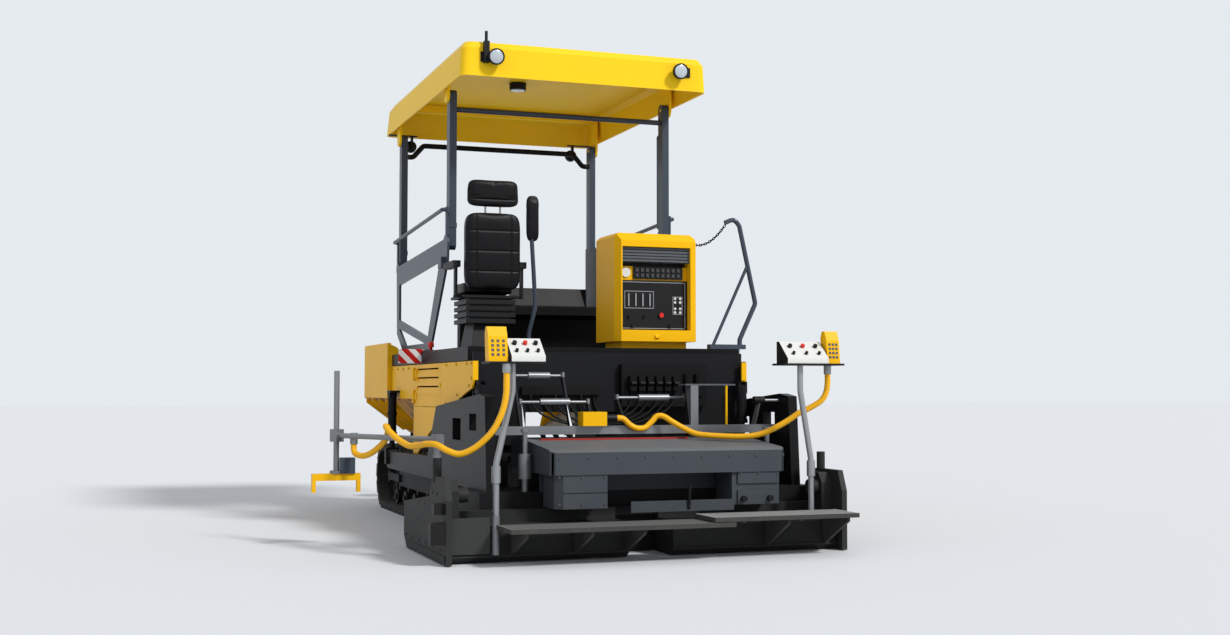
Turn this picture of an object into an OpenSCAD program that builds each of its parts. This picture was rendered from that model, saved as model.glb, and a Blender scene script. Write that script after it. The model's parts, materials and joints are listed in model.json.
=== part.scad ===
// Tracked asphalt paver with an extending screed. Forward is +Y, up is +Z, and the ground is Z = 0.
// The origin lies at the middle of the machine's length and width, on the ground.

/* [Overall] */
// Length from the walkway's rear edge to the push rollers' front
machine_l = 6400; // [6200:50:6800]
// Width over the tractor's side panels
body_w = 2200; // [2160:20:2260]
// Height of the platform floor
deck_z = 1450; // [1420:10:1500]
// Thickness of the yellow sheet panels with their inner frame
panel_t = 16; // [12:1:20]

/* [Tractor] */
// Distance from the screed cover's rear face to the side panels' rear edge
tractor_gap = 1150; // [1120:10:1180]
// Length of the tractor body, from the panels' rear edge to the hopper's rear wall
tractor_l = 3000; // [2940:10:3060]
// Half distance between the two chassis side plates' outer faces
chassis_x = 720; // [700:5:740]
// Thickness of the chassis plates
chassis_t = 40; // [30:2:44]
// Height of the material tunnel's roof
tunnel_z = 960; // [900:10:980]

/* [Tracks] */
// Distance of each track's middle from the centre line
track_x = 930; // [925:1:935]
// Width of the track shoes
shoe_w = 300; // [260:10:300]
// Outer radius of a track at its sprocket, over the shoes
track_r = 305; // [295:5:310]
// Height of a shoe with its pad
shoe_h = 34; // [30:1:38]
// Thickness of the track's link band
band_t = 30; // [26:1:34]
// Distance between sprocket and idler
wheelbase = 2700; // [2600:10:2720]
// Number of shoes round one track
shoe_n = 46; // [40:1:48]
// Number of track rollers
roller_n = 6; // [4:1:7]

/* [Hopper] */
// Distance of a wing's hinge from the centre line
wing_hinge_x = 660; // [640:5:680]
// Height of a wing's hinge
wing_hinge_z = 705; // [695:5:720]
// Half width over the raised wings
wing_x = 1140; // [1120:5:1160]
// Height of the wing's crease when it is raised
crease_z = 1050; // [1000:10:1100]
// Height of the raised wing's top edge
wing_top_z = 1560; // [1500:10:1600]
// Thickness of the wing's plates
wing_t = 16; // [12:1:20]
// Distance from the push rollers' front to the wings' front edge
push_reach = 640; // [600:10:700]

/* [Push rollers] */
// Diameter of a push roller
roller_d = 170; // [150:5:180]
// Length of a push roller
roller_l = 520; // [480:10:560]
// Height of the push rollers' axis
roller_z = 560; // [540:5:580]

/* [Canopy] */
// Length of the roof
roof_l = 3050; // [2900:10:3100]
// Width of the roof
roof_w = 2090; // [2060:10:2140]
// Height of the roof's top
roof_top_z = 3880; // [3860:10:3920]
// Height of the shell from its rim to its top
roof_h = 260; // [220:10:300]
// Wall of the roof shell
roof_t = 14; // [10:1:20]
// Distance of the posts from the centre line
post_x = 985; // [970:5:990]
// Width of a post across the machine
post_w = 60; // [50:2:70]
// Depth of a post along the machine
post_d = 100; // [80:5:110]
// Distance of the rear posts behind the hopper's rear wall
rear_post_back = 1650; // [1600:10:1700]
// Distance between rear and front posts
post_gap = 1950; // [1900:10:2000]
// Height of the rear posts' folding pivots
fold_z = 2330; // [2300:10:2360]
// Distance from a folding pivot to the roof's pivot
post_l = 1230; // [1210:10:1250]
// How much lower the front pivots are than the rear ones
roof_drop = 60; // [40:5:80]

/* [Screed] */
// Width of the main screed's cover
cover_w = 1720; // [1680:10:1760]
// Width of the main screed's plate
screed_w = 2500; // [2480:10:2540]
// Depth of the whole screed without the walkway
screed_d = 960; // [930:10:980]
// Height of the cover's top
cover_z = 730; // [710:5:750]
// Depth of the extension behind the main screed
ext_d = 340; // [320:5:360]
// Distance by which the left extension stands out, as in the picture
left_out = 300; // [250:10:350]
// Depth of the walkway boards
walk_d = 350; // [300:10:380]
// Height of the walkway boards' top
walk_z = 290; // [280:5:320]
// Height of the screed plates above the ground
plate_z = 6; // [4:1:12]

/* [Auger] */
// Diameter of the auger's flights
auger_d = 380; // [340:10:400]
// Height of the auger's axis
auger_z = 345; // [330:5:370]
// Pitch between two flights
auger_pitch = 300; // [250:10:340]

/* [Hidden] */
$fn = 48;
fit = 0.3;
gap = 6;
rear_y = -machine_l / 2;
screed_y = rear_y + walk_d + 70;
tractor_y = screed_y + tractor_gap;
wall_y = tractor_y + tractor_l;
wing_front_y = machine_l / 2 - push_reach;
roller_y = machine_l / 2 - roller_d / 2;
panel_x = body_w / 2;
yellow = [0.93, 0.74, 0.06];
dark = [0.16, 0.18, 0.20];
steel_blue = [0.27, 0.32, 0.37];
black = [0.07, 0.07, 0.08];
grey = [0.55, 0.57, 0.58];
zinc = [0.72, 0.73, 0.74];

// The left side reaches further out, so the machine's middle plane lies right of the origin
gate_t = 40;
gate_x = screed_w / 2 + gate_t / 2;
socket_d = 60;
socket_bore = 44.6;
sensor_swing = 24;
sensor_arm_l = 1200;
follower_w = 345;
left_reach = gate_x + left_out + sensor_arm_l * sin(sensor_swing) + follower_w / 2;
right_reach = gate_x + socket_d / 2;
centre_x = (left_reach - right_reach) / 2;
module placed() translate([centre_x, 0, 0]) children();

// Stations along the machine
tow_y = wall_y - 300;
tow_z = 500;
sprocket_y = tractor_y + 840;
idler_y = sprocket_y + wheelbase;
auger_y = tractor_y + 170;
rear_post_y = wall_y - rear_post_back;
front_post_y = rear_post_y + post_gap;
roof_rear_y = rear_post_y - 720;
rim_z = roof_top_z - roof_h;
panel_top_z = deck_z - 110;
door_y = [tractor_y + 1020, tractor_y + 1990];
door_z = [990, panel_top_z];
track_z = track_r;
band_r = track_r - shoe_h;
frame_front_y = wing_front_y - 20;
ext_l = screed_w / 2 - 10;
arm_x = panel_x + 20;
arm_t = 70;
cross_y = screed_y + 700;
cross_z = 870;
frame_top_z = 430;
main_y = screed_y + ext_d + 30;
main_front_y = screed_y + screed_d;
console_y = screed_y + 20;

// Box between two corners, each axis as a pair of limits
module block(x, y, z) translate([x[0], y[0], z[0]]) cube([x[1] - x[0], y[1] - y[0], z[1] - z[0]]);

// Outline in Y and Z, extruded along X from x over the thickness t
module side_plate(x, t) translate([x, 0, 0]) rotate([90, 0, 90]) linear_extrude(t) children();

// Rectangle between two pairs of limits
module block2(u, v) translate([u[0], v[0]]) square([u[1] - u[0], v[1] - v[0]]);

// Outline in X and Z, extruded along Y from y over the thickness t
module cross_plate(y, t) translate([0, y + t, 0]) rotate([90, 0, 0]) linear_extrude(t) children();

// Round bar between two points
module bar(a, b, d) {
    run = b - a;
    translate(a) rotate([0, acos(run[2] / norm(run)), atan2(run[1], run[0])]) cylinder(h = norm(run), d = d);
}

// Rings of n points round a route, each square to the way there, joined into one closed tube
ring_ref = [1, 1, 0];
function ring(p, t, r, n) = let (
        side = cross(t, ring_ref) / norm(cross(t, ring_ref)),
        up = cross(side, t) / norm(cross(side, t)))
    [for (k = [0 : n - 1]) p + r * (cos(360 * k / n) * side + sin(360 * k / n) * up)];
module tube(route, d, n) {
    last = len(route) - 1;
    rings = [for (i = [0 : last]) let (t = route[min(i + 1, last)] - route[max(i - 1, 0)])
        each ring(route[i], t / norm(t), d / 2, n)];
    faces = concat([[for (k = [n - 1 : -1 : 0]) k]], [[for (k = [0 : n - 1]) last * n + k]],
        [for (i = [0 : last - 1], k = [0 : n - 1]) let (m = (k + 1) % n)
            each [[i * n + k, i * n + m, (i + 1) * n + k], [i * n + m, (i + 1) * n + m, (i + 1) * n + k]]]);
    polyhedron(rings, faces);
}

// Bent pipe: straight pieces between the points, with a bend of radius r at each knee
bend_steps = 4;
pipe_sides = 12;
function unit(v) = v / norm(v);
function bend(a, b, c, r) = let (u = unit(b - a), v = unit(c - b), turn = acos(u * v),
        middle = b + unit(v - u) * r / cos(turn / 2), out = unit(b - u * r * tan(turn / 2) - middle))
    [for (k = [0 : bend_steps]) let (q = turn * k / bend_steps) middle + r * (cos(q) * out + sin(q) * u)];
module pipe(points, d, r) {
    last = len(points) - 1;
    tube([points[0], for (i = [1 : last - 1]) each bend(points[i - 1], points[i], points[i + 1], r), points[last]],
        d, pipe_sides);
}

// Shaft along X between two places
module shaft(x, y, z, d) translate([x[0], y, z]) rotate([0, 90, 0]) cylinder(h = x[1] - x[0], d = d);

// Shaft along Y between two places
module pin_y(x, y, z, d) translate([x, y[1], z]) rotate([90, 0, 0]) cylinder(h = y[1] - y[0], d = d);

// What is drawn for the left side, turned to the right one where right is true
module on_side(right) {
    if (right) mirror([1, 0, 0]) children();
    else children();
}

// Drawn on both sides
module both_sides() {
    children();
    mirror([1, 0, 0]) children();
}

// Towing eyes at the chassis front
tow_eye_x = 430;
tow_eye_t = 30;
tow_eye_d = 50;
tow_eye_y = frame_front_y + 70;
tow_eye_z = 480;

// Lug stations of a wing's hinge
lug_t = 30;
lug_r = 32;
lug_n = 3;
mouth_y = tractor_y + 400;
lug_y0 = wall_y + 120;
lug_y1 = wing_front_y - 150;
function lug_y(i) = lug_y0 + (lug_y1 - lug_y0) * i / (lug_n - 1);
hinge_pin_d = 30;
axle_d = 120;
mount_gap = 50;

module chassis() placed() color(dark) {
    tunnel_x = chassis_x - chassis_t;
    difference() {
        union() {
            both_sides() side_plate(-chassis_x, chassis_t) polygon([
                [mouth_y, 330], [mouth_y + 120, 235], [wall_y + 300, 235], [frame_front_y, 400],
                [frame_front_y, wing_hinge_z - 90],
                [wall_y, wing_hinge_z - 90], [wall_y, tunnel_z + 1], [tractor_y + 60, tunnel_z + 1],
                [tractor_y + 60, 620], [mouth_y, 620]]);
            block([-chassis_x, chassis_x], [tractor_y + 60, wall_y], [tunnel_z, tunnel_z + 20]);
            // bulkheads that carry the deck
            for (y = [tractor_y + 60, tractor_y + 1500, wall_y - 16])
                block([-panel_x + panel_t + fit, panel_x - panel_t - fit], [y, y + 16], [720, deck_z - 40]);
            block([-chassis_x, chassis_x], [frame_front_y - 20, frame_front_y], [400, wing_hinge_z - 90]);
        }
        // the tunnel stays open through every bulkhead
        block([-tunnel_x, tunnel_x], [tractor_y - 1, wall_y + 1], [400, tunnel_z]);
        // the front bulkhead keeps clear of the undercut skirt
        both_sides() cross_plate(wall_y - 17, 18) polygon([[-panel_x, crease_z + 23], [-chassis_x - 59, wing_hinge_z + 39],
            [-chassis_x - 59, wing_hinge_z], [-panel_x, wing_hinge_z]]);
    }
    both_sides() {
        // towing eye in front of each side plate
        difference() {
            side_plate(-tow_eye_x - tow_eye_t / 2, tow_eye_t) {
                translate([tow_eye_y, tow_eye_z]) circle(r = tow_eye_d);
                polygon([[frame_front_y - 1, tow_eye_z - 70], [frame_front_y - 1, tow_eye_z + 70],
                    [tow_eye_y, tow_eye_z + tow_eye_d], [tow_eye_y, tow_eye_z - tow_eye_d]]);
            }
            shaft([-tow_eye_x - tow_eye_t, -tow_eye_x + tow_eye_t], tow_eye_y, tow_eye_z, tow_eye_d);
        }
        for (y = [sprocket_y, sprocket_y + 500, idler_y - 500])
            shaft([-chassis_x - mount_gap, -chassis_x], y, track_z, axle_d);
        // lugs and pins of the wing's hinge
        for (i = [0 : lug_n - 1]) {
            cross_plate(lug_y(i), lug_t) {
                translate([-wing_hinge_x, wing_hinge_z]) circle(r = lug_r);
                polygon([[-chassis_x, wing_hinge_z - 95], [-chassis_x + chassis_t, wing_hinge_z - 95],
                    [-wing_hinge_x + lug_r, wing_hinge_z], [-wing_hinge_x - lug_r, wing_hinge_z]]);
            }
            pin_y(-wing_hinge_x, [lug_y(i) - 70, lug_y(i) + lug_t + 70], wing_hinge_z, hinge_pin_d);
        }
        // stiffening ribs outside the tunnel
        for (y = [tractor_y + 700, tractor_y + 2300])
            block([-chassis_x - mount_gap, -chassis_x], [y, y + 14], [track_z * 2 + 40, tunnel_z]);
    }
}

// Closed link band with its shoes, laid round sprocket and idler
function loop_len(r) = 2 * wheelbase + 2 * PI * r;
function loop_pos(s, r) =
    s < wheelbase ? [sprocket_y + s, track_z - r, 0]
    : s < wheelbase + PI * r ? let (a = (s - wheelbase) / r * 180 / PI)
        [idler_y + r * sin(a), track_z - r * cos(a), a]
    : s < 2 * wheelbase + PI * r ? [idler_y - (s - wheelbase - PI * r), track_z + r, 180]
    : let (a = 180 + (s - 2 * wheelbase - PI * r) / r * 180 / PI)
        [sprocket_y + r * sin(a), track_z - r * cos(a), a];

module stadium(r) {
    translate([sprocket_y, track_z]) circle(r);
    translate([idler_y, track_z]) circle(r);
    block2([sprocket_y, idler_y], [track_z - r, track_z + r]);
}

// One shoe in side view: a steel plate that carries a rubber pad with bevelled ends
shoe_plate_t = 9;
module shoe_outline(pitch) polygon([
    [-pitch * 0.47, 5], [-pitch * 0.47, -shoe_plate_t], [-pitch * 0.41, -shoe_plate_t], [-pitch * 0.36, -shoe_h],
    [pitch * 0.36, -shoe_h], [pitch * 0.41, -shoe_plate_t], [pitch * 0.47, -shoe_plate_t], [pitch * 0.47, 5]]);

module loop_outline() {
    pitch = loop_len(band_r) / shoe_n;
    difference() {
        union() {
            stadium(band_r);
            for (i = [0 : shoe_n - 1]) let (p = loop_pos((i + 0.5) * pitch, band_r))
                translate([p[0], p[1]]) rotate(p[2]) shoe_outline(pitch);
        }
        stadium(band_r - band_t);
    }
}

module track(right) color(black) on_side(right)
    side_plate(-track_x - shoe_w / 2, shoe_w) loop_outline();
module track_left() placed() track(false);
module track_right() placed() track(true);

// Roller frame with toothed sprocket, spoked idler, flanged track rollers and carrier rollers
tooth_n = 21;
tooth_h = 18;
roller_body_d = 120;
flange_t = 16;
module toothed_disc(r, t) linear_extrude(t) polygon([for (i = [0 : 4 * tooth_n - 1])
    let (a = 360 * (i + 0.5) / (4 * tooth_n), q = i % 4 < 2 ? r : r - tooth_h) [q * cos(a), q * sin(a)]]);
module wheel_holes(r, d, n) for (i = [0 : n - 1])
    rotate(360 * (i + 0.5) / n) translate([r, 0, -1]) cylinder(h = shoe_w, d = d);
module track_roller(y, z, d) {
    shaft([-track_x - 90, -track_x + 90], y, z, d);
    for (x = [-90, 90 - flange_t]) shaft([-track_x + x, -track_x + x + flange_t], y, z, d + 26);
    shaft([-track_x - 104, -track_x - 90], y, z, 60);
}
module track_frame(right) {
    inner_r = band_r - band_t - fit;
    beam_x = [-track_x - 60, -track_x + 60];
    color(dark) on_side(right) {
        // sprocket with its motor's cover
        translate([-track_x - 24, sprocket_y, track_z]) rotate([90, 0, 90]) difference() {
            toothed_disc(inner_r - 2, 48);
            wheel_holes(inner_r - 55, 44, 9);
        }
        shaft([-track_x - 80, -chassis_x - mount_gap], sprocket_y, track_z, 250);
        shaft([-track_x - 104, -track_x - 80], sprocket_y, track_z, 170);
        // idler
        translate([-track_x - 50, idler_y, track_z]) rotate([90, 0, 90]) difference() {
            cylinder(h = 100, r = inner_r);
            translate([0, 0, -1]) cylinder(h = 31, r = inner_r - 34);
            translate([0, 0, 70]) cylinder(h = 31, r = inner_r - 34);
            wheel_holes(inner_r - 100, 76, 6);
        }
        shaft([-track_x - 84, -track_x - 19], idler_y, track_z, 110);
        shaft([-track_x + 19, -chassis_x - mount_gap], idler_y, track_z, 110);
        // box beam with the idler's yoke
        block(beam_x, [sprocket_y + inner_r + 30, idler_y - inner_r - 120], [track_z - 70, track_z + 80]);
        for (x = [-84, 60]) block([-track_x + x, -track_x + x + 24], [idler_y - inner_r - 220, idler_y + 40],
            [track_z - 34, track_z + 34]);
        for (x = [-84, 60]) block([-track_x + x, -track_x + x + 24],
            [sprocket_y - 20, sprocket_y + inner_r + 130], [track_z - 60, track_z + 60]);
        block([-track_x + 59, -chassis_x - mount_gap], [sprocket_y + 440, idler_y - 440], [track_z - 60, track_z + 60]);
        for (i = [0 : roller_n - 1]) let (y = sprocket_y + (i + 1) * wheelbase / (roller_n + 1), r = roller_body_d / 2 + 13) {
            track_roller(y, track_z - inner_r + r, roller_body_d);
            block(beam_x, [y - 30, y + 30], [track_z - inner_r + r + 20, track_z - 60]);
        }
        for (k = [1, 2]) let (y = sprocket_y + wheelbase * k / 3) {
            track_roller(y, track_z + inner_r - 58, 90);
            block([-track_x - 30, -track_x + 30], [y - 24, y + 24], [track_z + 70, track_z + inner_r - 70]);
        }
    }
}
module track_frame_left() placed() track_frame(false);
module track_frame_right() placed() track_frame(true);

module engine_block() placed() color(dark)
    block([-480, 480], [tractor_y + 1620, wall_y - 120], [tunnel_z + 20, deck_z - 130]);

// Hinge line of a service door, in front of the panel's outer face at the door's front edge
door_gap = 4;
door_pin_x = panel_x + 12;
door_pin_y = door_y[1] + 3;
door_pin_d = 14;
knuckle_h = 60;
knuckle_z = [door_z[0] + 50, door_z[1] - 110];

// Lower rear edge of a side panel, swept down to the front in one curve
function sweep(a, b, c, n) = [for (i = [0 : n]) let (t = i / n) (1 - t) * (1 - t) * a + 2 * t * (1 - t) * b + t * t * c];

// Yellow side panel: flat round the service door, undercut like the hopper's wing ahead of it
crease_x = panel_x - panel_t;
module side_panel(right) color(yellow) on_side(right) {
    y0 = tractor_y;
    skirt_y = door_y[1] + 60;
    side_plate(-panel_x, panel_t) polygon(concat(
        [[y0, panel_top_z], [y0, 1200]],
        sweep([y0 + 30, 1140], [y0 + 640, 1030], [y0 + 1460, 766], 8),
        [[skirt_y - 30, 530], [skirt_y, 540],
        [skirt_y, panel_top_z], [door_y[1] + door_gap, panel_top_z], [door_y[1] + door_gap, door_z[0] - door_gap],
        [door_y[0] - door_gap, door_z[0] - door_gap], [door_y[0] - door_gap, panel_top_z]]));
    // folded edges of the panel's rear and of its door opening
    block([-panel_x, -panel_x + 40], [y0, y0 + panel_t], [1200, panel_top_z]);
    for (y = [door_y[0] - 36, door_y[1] + 14])
        block([-panel_x + panel_t - 1, -panel_x + panel_t + 14], [y, y + 22], [door_z[0], panel_top_z]);
    cross_plate(skirt_y - 1, wall_y - skirt_y + 1) polygon([[-panel_x, crease_z], [-panel_x, panel_top_z],
        [-panel_x + panel_t, panel_top_z], [-panel_x + panel_t, crease_z + 5], [-chassis_x - 60, wing_hinge_z + 38],
        [-chassis_x - 60, wing_hinge_z + 20]]);
    for (z = knuckle_z) {
        translate([-door_pin_x, door_pin_y, z - 25]) cylinder(h = knuckle_h + 50, d = door_pin_d);
        for (e = [z - 25, z + knuckle_h + 5])
            block([-door_pin_x - 8, -panel_x + 1], [door_pin_y + 1, door_pin_y + 40], [e, e + 20]);
    }
}
module side_panel_left() placed() side_panel(false);
module side_panel_right() placed() side_panel(true);

// Service door with open louvres, a pressed groove below them and a folded frame inside
louvre_n = 3;
louvre_h = 50;
louvre_pitch = 73;
groove_h = 10;
module service_door(right) color(yellow) on_side(right) {
    slot_y = [door_y[0] + 90, door_y[1] - 70];
    louvre_z = door_z[1] - 34;
    difference() {
        block([-panel_x, -panel_x + panel_t], door_y, door_z);
        for (i = [0 : louvre_n - 1])
            block([-panel_x - 1, -panel_x + panel_t + 1], slot_y,
                [louvre_z - i * louvre_pitch - louvre_h, louvre_z - i * louvre_pitch]);
        block([-panel_x - 1, -panel_x + 5], slot_y,
            [louvre_z - louvre_n * louvre_pitch - groove_h, louvre_z - louvre_n * louvre_pitch]);
        block([-panel_x - 1, -panel_x + 4], [slot_y[0] - 30, slot_y[0] - 26], [door_z[0] - 1, door_z[1] + 1]);
    }
    for (i = [0 : louvre_n - 1])
        translate([-panel_x, 0, louvre_z - i * louvre_pitch])
            cross_plate(slot_y[0] - 1, slot_y[1] - slot_y[0] + 2)
                polygon([[0, -louvre_h - 2], [4, -louvre_h - 2], [panel_t, -12], [panel_t - 4, -12]]);
    // latch
    translate([-panel_x - 7, door_y[0] + 28, (door_z[0] + door_z[1]) / 2]) rotate([0, 90, 0]) cylinder(h = 8, d = 34);
    for (z = knuckle_z) difference() {
        union() {
            translate([-door_pin_x, door_pin_y, z]) cylinder(h = knuckle_h, d = 22);
            block([-panel_x - 6, -panel_x + 1], [door_pin_y - 70, door_pin_y - 4], [z, z + knuckle_h]);
            block([-door_pin_x, -panel_x + 1], [door_pin_y - 16, door_pin_y - 4], [z, z + knuckle_h]);
        }
        translate([-door_pin_x, door_pin_y, z - 1]) cylinder(h = knuckle_h + 2, d = door_pin_d + 2 * fit);
    }
}
module service_door_left() placed() service_door(false);
module service_door_right() placed() service_door(true);

// Opening under the engine hood, and the hood's hinge line at its front edge
hood_x = 700;
hood_y = [wall_y - 860, wall_y - 60];
hood_pin_z = deck_z + 36;
hood_pin_d = 16;
hood_lug_x = 520;

// Deck plate with a folded edge, and a marker plate on each side
deck_t = 40;
deck_rear_y = tractor_y + 160;
marker_y = tractor_y + 1750;
module platform() placed() color(black) {
    difference() {
        union() {
            block([-panel_x, panel_x], [deck_rear_y, wall_y], [deck_z - deck_t, deck_z]);
            both_sides() block([-panel_x, -panel_x + 12], [deck_rear_y, wall_y], [panel_top_z + gap, deck_z - 1]);
            block([-panel_x, panel_x], [deck_rear_y, deck_rear_y + 12], [panel_top_z + gap, deck_z - 1]);
        }
        block([-hood_x, hood_x], hood_y, [deck_z - deck_t - 1, deck_z + 1]);
    }
    // step treads along the rear edge
    both_sides() for (i = [0 : 4])
        block([-panel_x + 40, -panel_x + 100], [deck_rear_y + 80 + i * 90, deck_rear_y + 130 + i * 90], [deck_z - 1, deck_z + 4]);
    // lugs of the hood's hinge
    for (s = [-1, 1]) {
        block([s * hood_lug_x - 10, s * hood_lug_x + 10], [hood_y[1], hood_y[1] + 40], [deck_z - 1, hood_pin_z + 14]);
        shaft([s * hood_lug_x - 60, s * hood_lug_x + 60], hood_y[1] + 14, hood_pin_z, hood_pin_d);
    }
    both_sides() {
        block([-panel_x - 195, -panel_x + 15], [marker_y, marker_y + 4], [panel_top_z + 10, panel_top_z + 130]);
        block([-panel_x - 120, -panel_x + 1], [marker_y + 3, marker_y + 40], [panel_top_z + 20, panel_top_z + 28]);
    }
}

// Dashboard wall behind the hood, with a sloping desk towards the seat and two instrument panels
dash_y = wall_y - 960;
dash_h = 560;
module platform_front() placed() color(black) {
    side_plate(-700, 1400) polygon([[dash_y + 80, deck_z], [dash_y + 80, deck_z + 420], [dash_y + 50, deck_z + dash_h - 130],
        [dash_y + 20, deck_z + dash_h - 130], [dash_y - 250, deck_z + 400], [dash_y - 250, deck_z + 330], [dash_y - 30, deck_z + 300],
        [dash_y, deck_z]]);
    side_plate(-240, 740) polygon([[dash_y + 50, deck_z + 400], [dash_y + 50, deck_z + dash_h],
        [dash_y + 10, deck_z + dash_h + 20], [dash_y - 50, deck_z + 400]]);
    color(grey) {
        block([-340, 10], [dash_y - 8, dash_y + 1], [deck_z + 110, deck_z + 280]);
        block([450, 570], [dash_y - 60, dash_y - 30], [deck_z + 400, deck_z + 940]);
    }
    // steering knob's column on the desk
    translate([-620, dash_y - 150, deck_z + 380]) rotate([20, 0, 0]) {
        cylinder(h = 70, d = 60);
        translate([0, 0, 69]) cylinder(h = 26, d = 90);
    }
}

module engine_hood() placed() color(black) {
    difference() {
        block([-hood_x + gap, hood_x - gap], [hood_y[0] + gap, hood_y[1] - gap], [deck_z - 30, deck_z + 20]);
        block([-hood_x + 30, hood_x - 30], [hood_y[0] + 30, hood_y[1] - 30], [deck_z - 31, deck_z + 8]);
        // air slots in two fields
        both_sides() for (i = [0 : 7])
            block([-hood_x + 120, -80], [hood_y[0] + 120 + i * 70, hood_y[0] + 150 + i * 70], [deck_z, deck_z + 21]);
    }
    both_sides() block([-hood_x + 115, -75], [hood_y[0] + 400, hood_y[0] + 410], [deck_z + 8, deck_z + 26]);
    for (s = [-1, 1], e = [-55, 20]) difference() {
        union() {
            shaft([s * hood_lug_x + e, s * hood_lug_x + e + 35], hood_y[1] + 14, hood_pin_z, 26);
            block([s * hood_lug_x + e, s * hood_lug_x + e + 35], [hood_y[1] - 60, hood_y[1] + 10], [deck_z + 19, hood_pin_z + 13]);
        }
        shaft([s * hood_lug_x + e - 1, s * hood_lug_x + e + 36], hood_y[1] + 14, hood_pin_z, hood_pin_d + 2 * fit);
    }
}

// Places of the canopy's pivots: the rear and front feet, and the roof's own
post_in = -post_x + 12;
pivot_d = 30;
foot_rear = [rear_post_y, fold_z];
foot_front = [front_post_y, fold_z - roof_drop];
module pivot_pin(p, x, d) shaft(x, p[0], p[1], d);

// Plate frame that carries the posts, with a handrail on two uprights
frame_plate_t = 20;
frame_rail_d = 34;
module side_frame(right) color(steel_blue) on_side(right) {
    x = -post_x - frame_plate_t / 2;
    rail_x = x - 28;
    rail_f = [front_post_y + 20, fold_z + 190];
    rail_r = [rear_post_y - 20, fold_z + 280];
    side_plate(x, frame_plate_t) difference() {
        union() {
            polygon([[rear_post_y - 80, fold_z], [rear_post_y + 60, fold_z + 40],
                [front_post_y - 60, foot_front[1] + 20], [front_post_y + 40, foot_front[1] - 60],
                [front_post_y + 10, deck_z + 200], [wall_y - 20, deck_z], [rear_post_y + 560, deck_z],
                [rear_post_y - 60, fold_z - 150]]);
            translate(foot_rear) circle(d = 150);
            translate(foot_front) circle(d = 120);
        }
        polygon([[rear_post_y + 200, fold_z - 130], [front_post_y - 90, fold_z - 220],
            [front_post_y - 90, deck_z + 330], [rear_post_y + 640, deck_z + 130]]);
        polygon([[rear_post_y + 760, deck_z + 80], [front_post_y - 90, deck_z + 250], [wall_y - 90, deck_z + 80]]);
    }
    // uprights that carry the handrail
    block([x, x + 14], [rail_f[0] - 20, rail_f[0] + 20], [foot_front[1] - 40, rail_f[1] + 24]);
    block([x, x + 14], [rail_r[0] - 20, rail_r[0] + 20], [foot_rear[1], rail_r[1] + 24]);
    pipe([[x + 1, rail_f[0], rail_f[1]], [rail_x, rail_f[0], rail_f[1]], [rail_x, rail_r[0], rail_r[1]],
        [x + 1, rail_r[0], rail_r[1]]], frame_rail_d, 18);
    // pocket on the rear leg, and foot plates on the deck
    block([x - 40, x + 1], [rear_post_y - 20, rear_post_y + 90], [fold_z - 200, fold_z - 110]);
    block([x - 40, x + frame_plate_t + 40], [rear_post_y + 600, rear_post_y + 780], [deck_z, deck_z + 14]);
    block([x - 40, x + frame_plate_t + 40], [wall_y - 260, wall_y - 80], [deck_z, deck_z + 14]);
    pivot_pin(foot_rear, [x + 10, post_in + post_w], pivot_d);
    pivot_pin(foot_front, [x + 10, post_in + post_w], pivot_d);
}
module side_frame_left() placed() side_frame(false);
module side_frame_right() placed() side_frame(true);

// Hooked rail beside the right-hand step, on a beam that sticks out of the deck's edge
rail_y = tractor_y + 190;
rail_d = 38;
rail_bend = 50;
module handrail_right() placed() color(steel_blue) {
    z = deck_z + 36;
    foot = panel_x + 30;
    block([panel_x - 240, foot + 40], [rail_y - 30, rail_y + 30], [deck_z, z]);
    pipe([[foot, rail_y, z - 1], [foot, rail_y, z + 40], [foot + 138, rail_y, z + 330], [foot, rail_y, z + 950],
        [foot - 45, rail_y, z + 1005], [foot - 125, rail_y, z + 970]], rail_d, rail_bend);
    tube([[foot - 230, rail_y, z - 4], [foot + 68, rail_y, z + 630]], 26, pipe_sides);
    // bracket under the beam and the lower grip
    side_plate(panel_x + 4, 12) polygon([[rail_y - 28, deck_z + 1], [rail_y + 28, deck_z + 1], [rail_y + 10, deck_z - 110],
        [rail_y - 28, deck_z - 110]]);
    block([panel_x + 4, foot + 40], [rail_y - 28, rail_y - 16], [deck_z - 118, deck_z - 100]);
}

// Seat console with its bellows
bellows_n = 4;
module seat_pedestal() placed() color(black) {
    seat_y = tractor_y + 700;
    hull() {
        block([-930, -620], [seat_y + 20, seat_y + 380], [deck_z, deck_z + 10]);
        block([-900, -660], [seat_y + 60, seat_y + 340], [deck_z + 190, deck_z + 200]);
    }
    for (i = [0 : bellows_n - 1]) let (z = deck_z + 200 + i * 50) {
        block([-980, -580], [seat_y - 10, seat_y + 390], [z, z + 34]);
        block([-950, -610], [seat_y + 20, seat_y + 360], [z + 33, z + 51]);
    }
    block([-1000, -560], [seat_y - 20, seat_y + 420], [deck_z + 399, deck_z + 420]);
    // armrests on their brackets
    for (s = [-1, 1]) {
        block([-780 + s * 268 - 10, -780 + s * 268 + 10], [seat_y + 40, seat_y + 90], [deck_z + 400, deck_z + 650]);
        block([-780 + s * 235 - 48, -780 + s * 235 + 48], [seat_y + 60, seat_y + 80], [deck_z + 400, deck_z + 418]);
        block([-780 + s * 268 - 30, -780 + s * 268 + 30], [seat_y + 20, seat_y + 360], [deck_z + 640, deck_z + 690]);
    }
}

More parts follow.
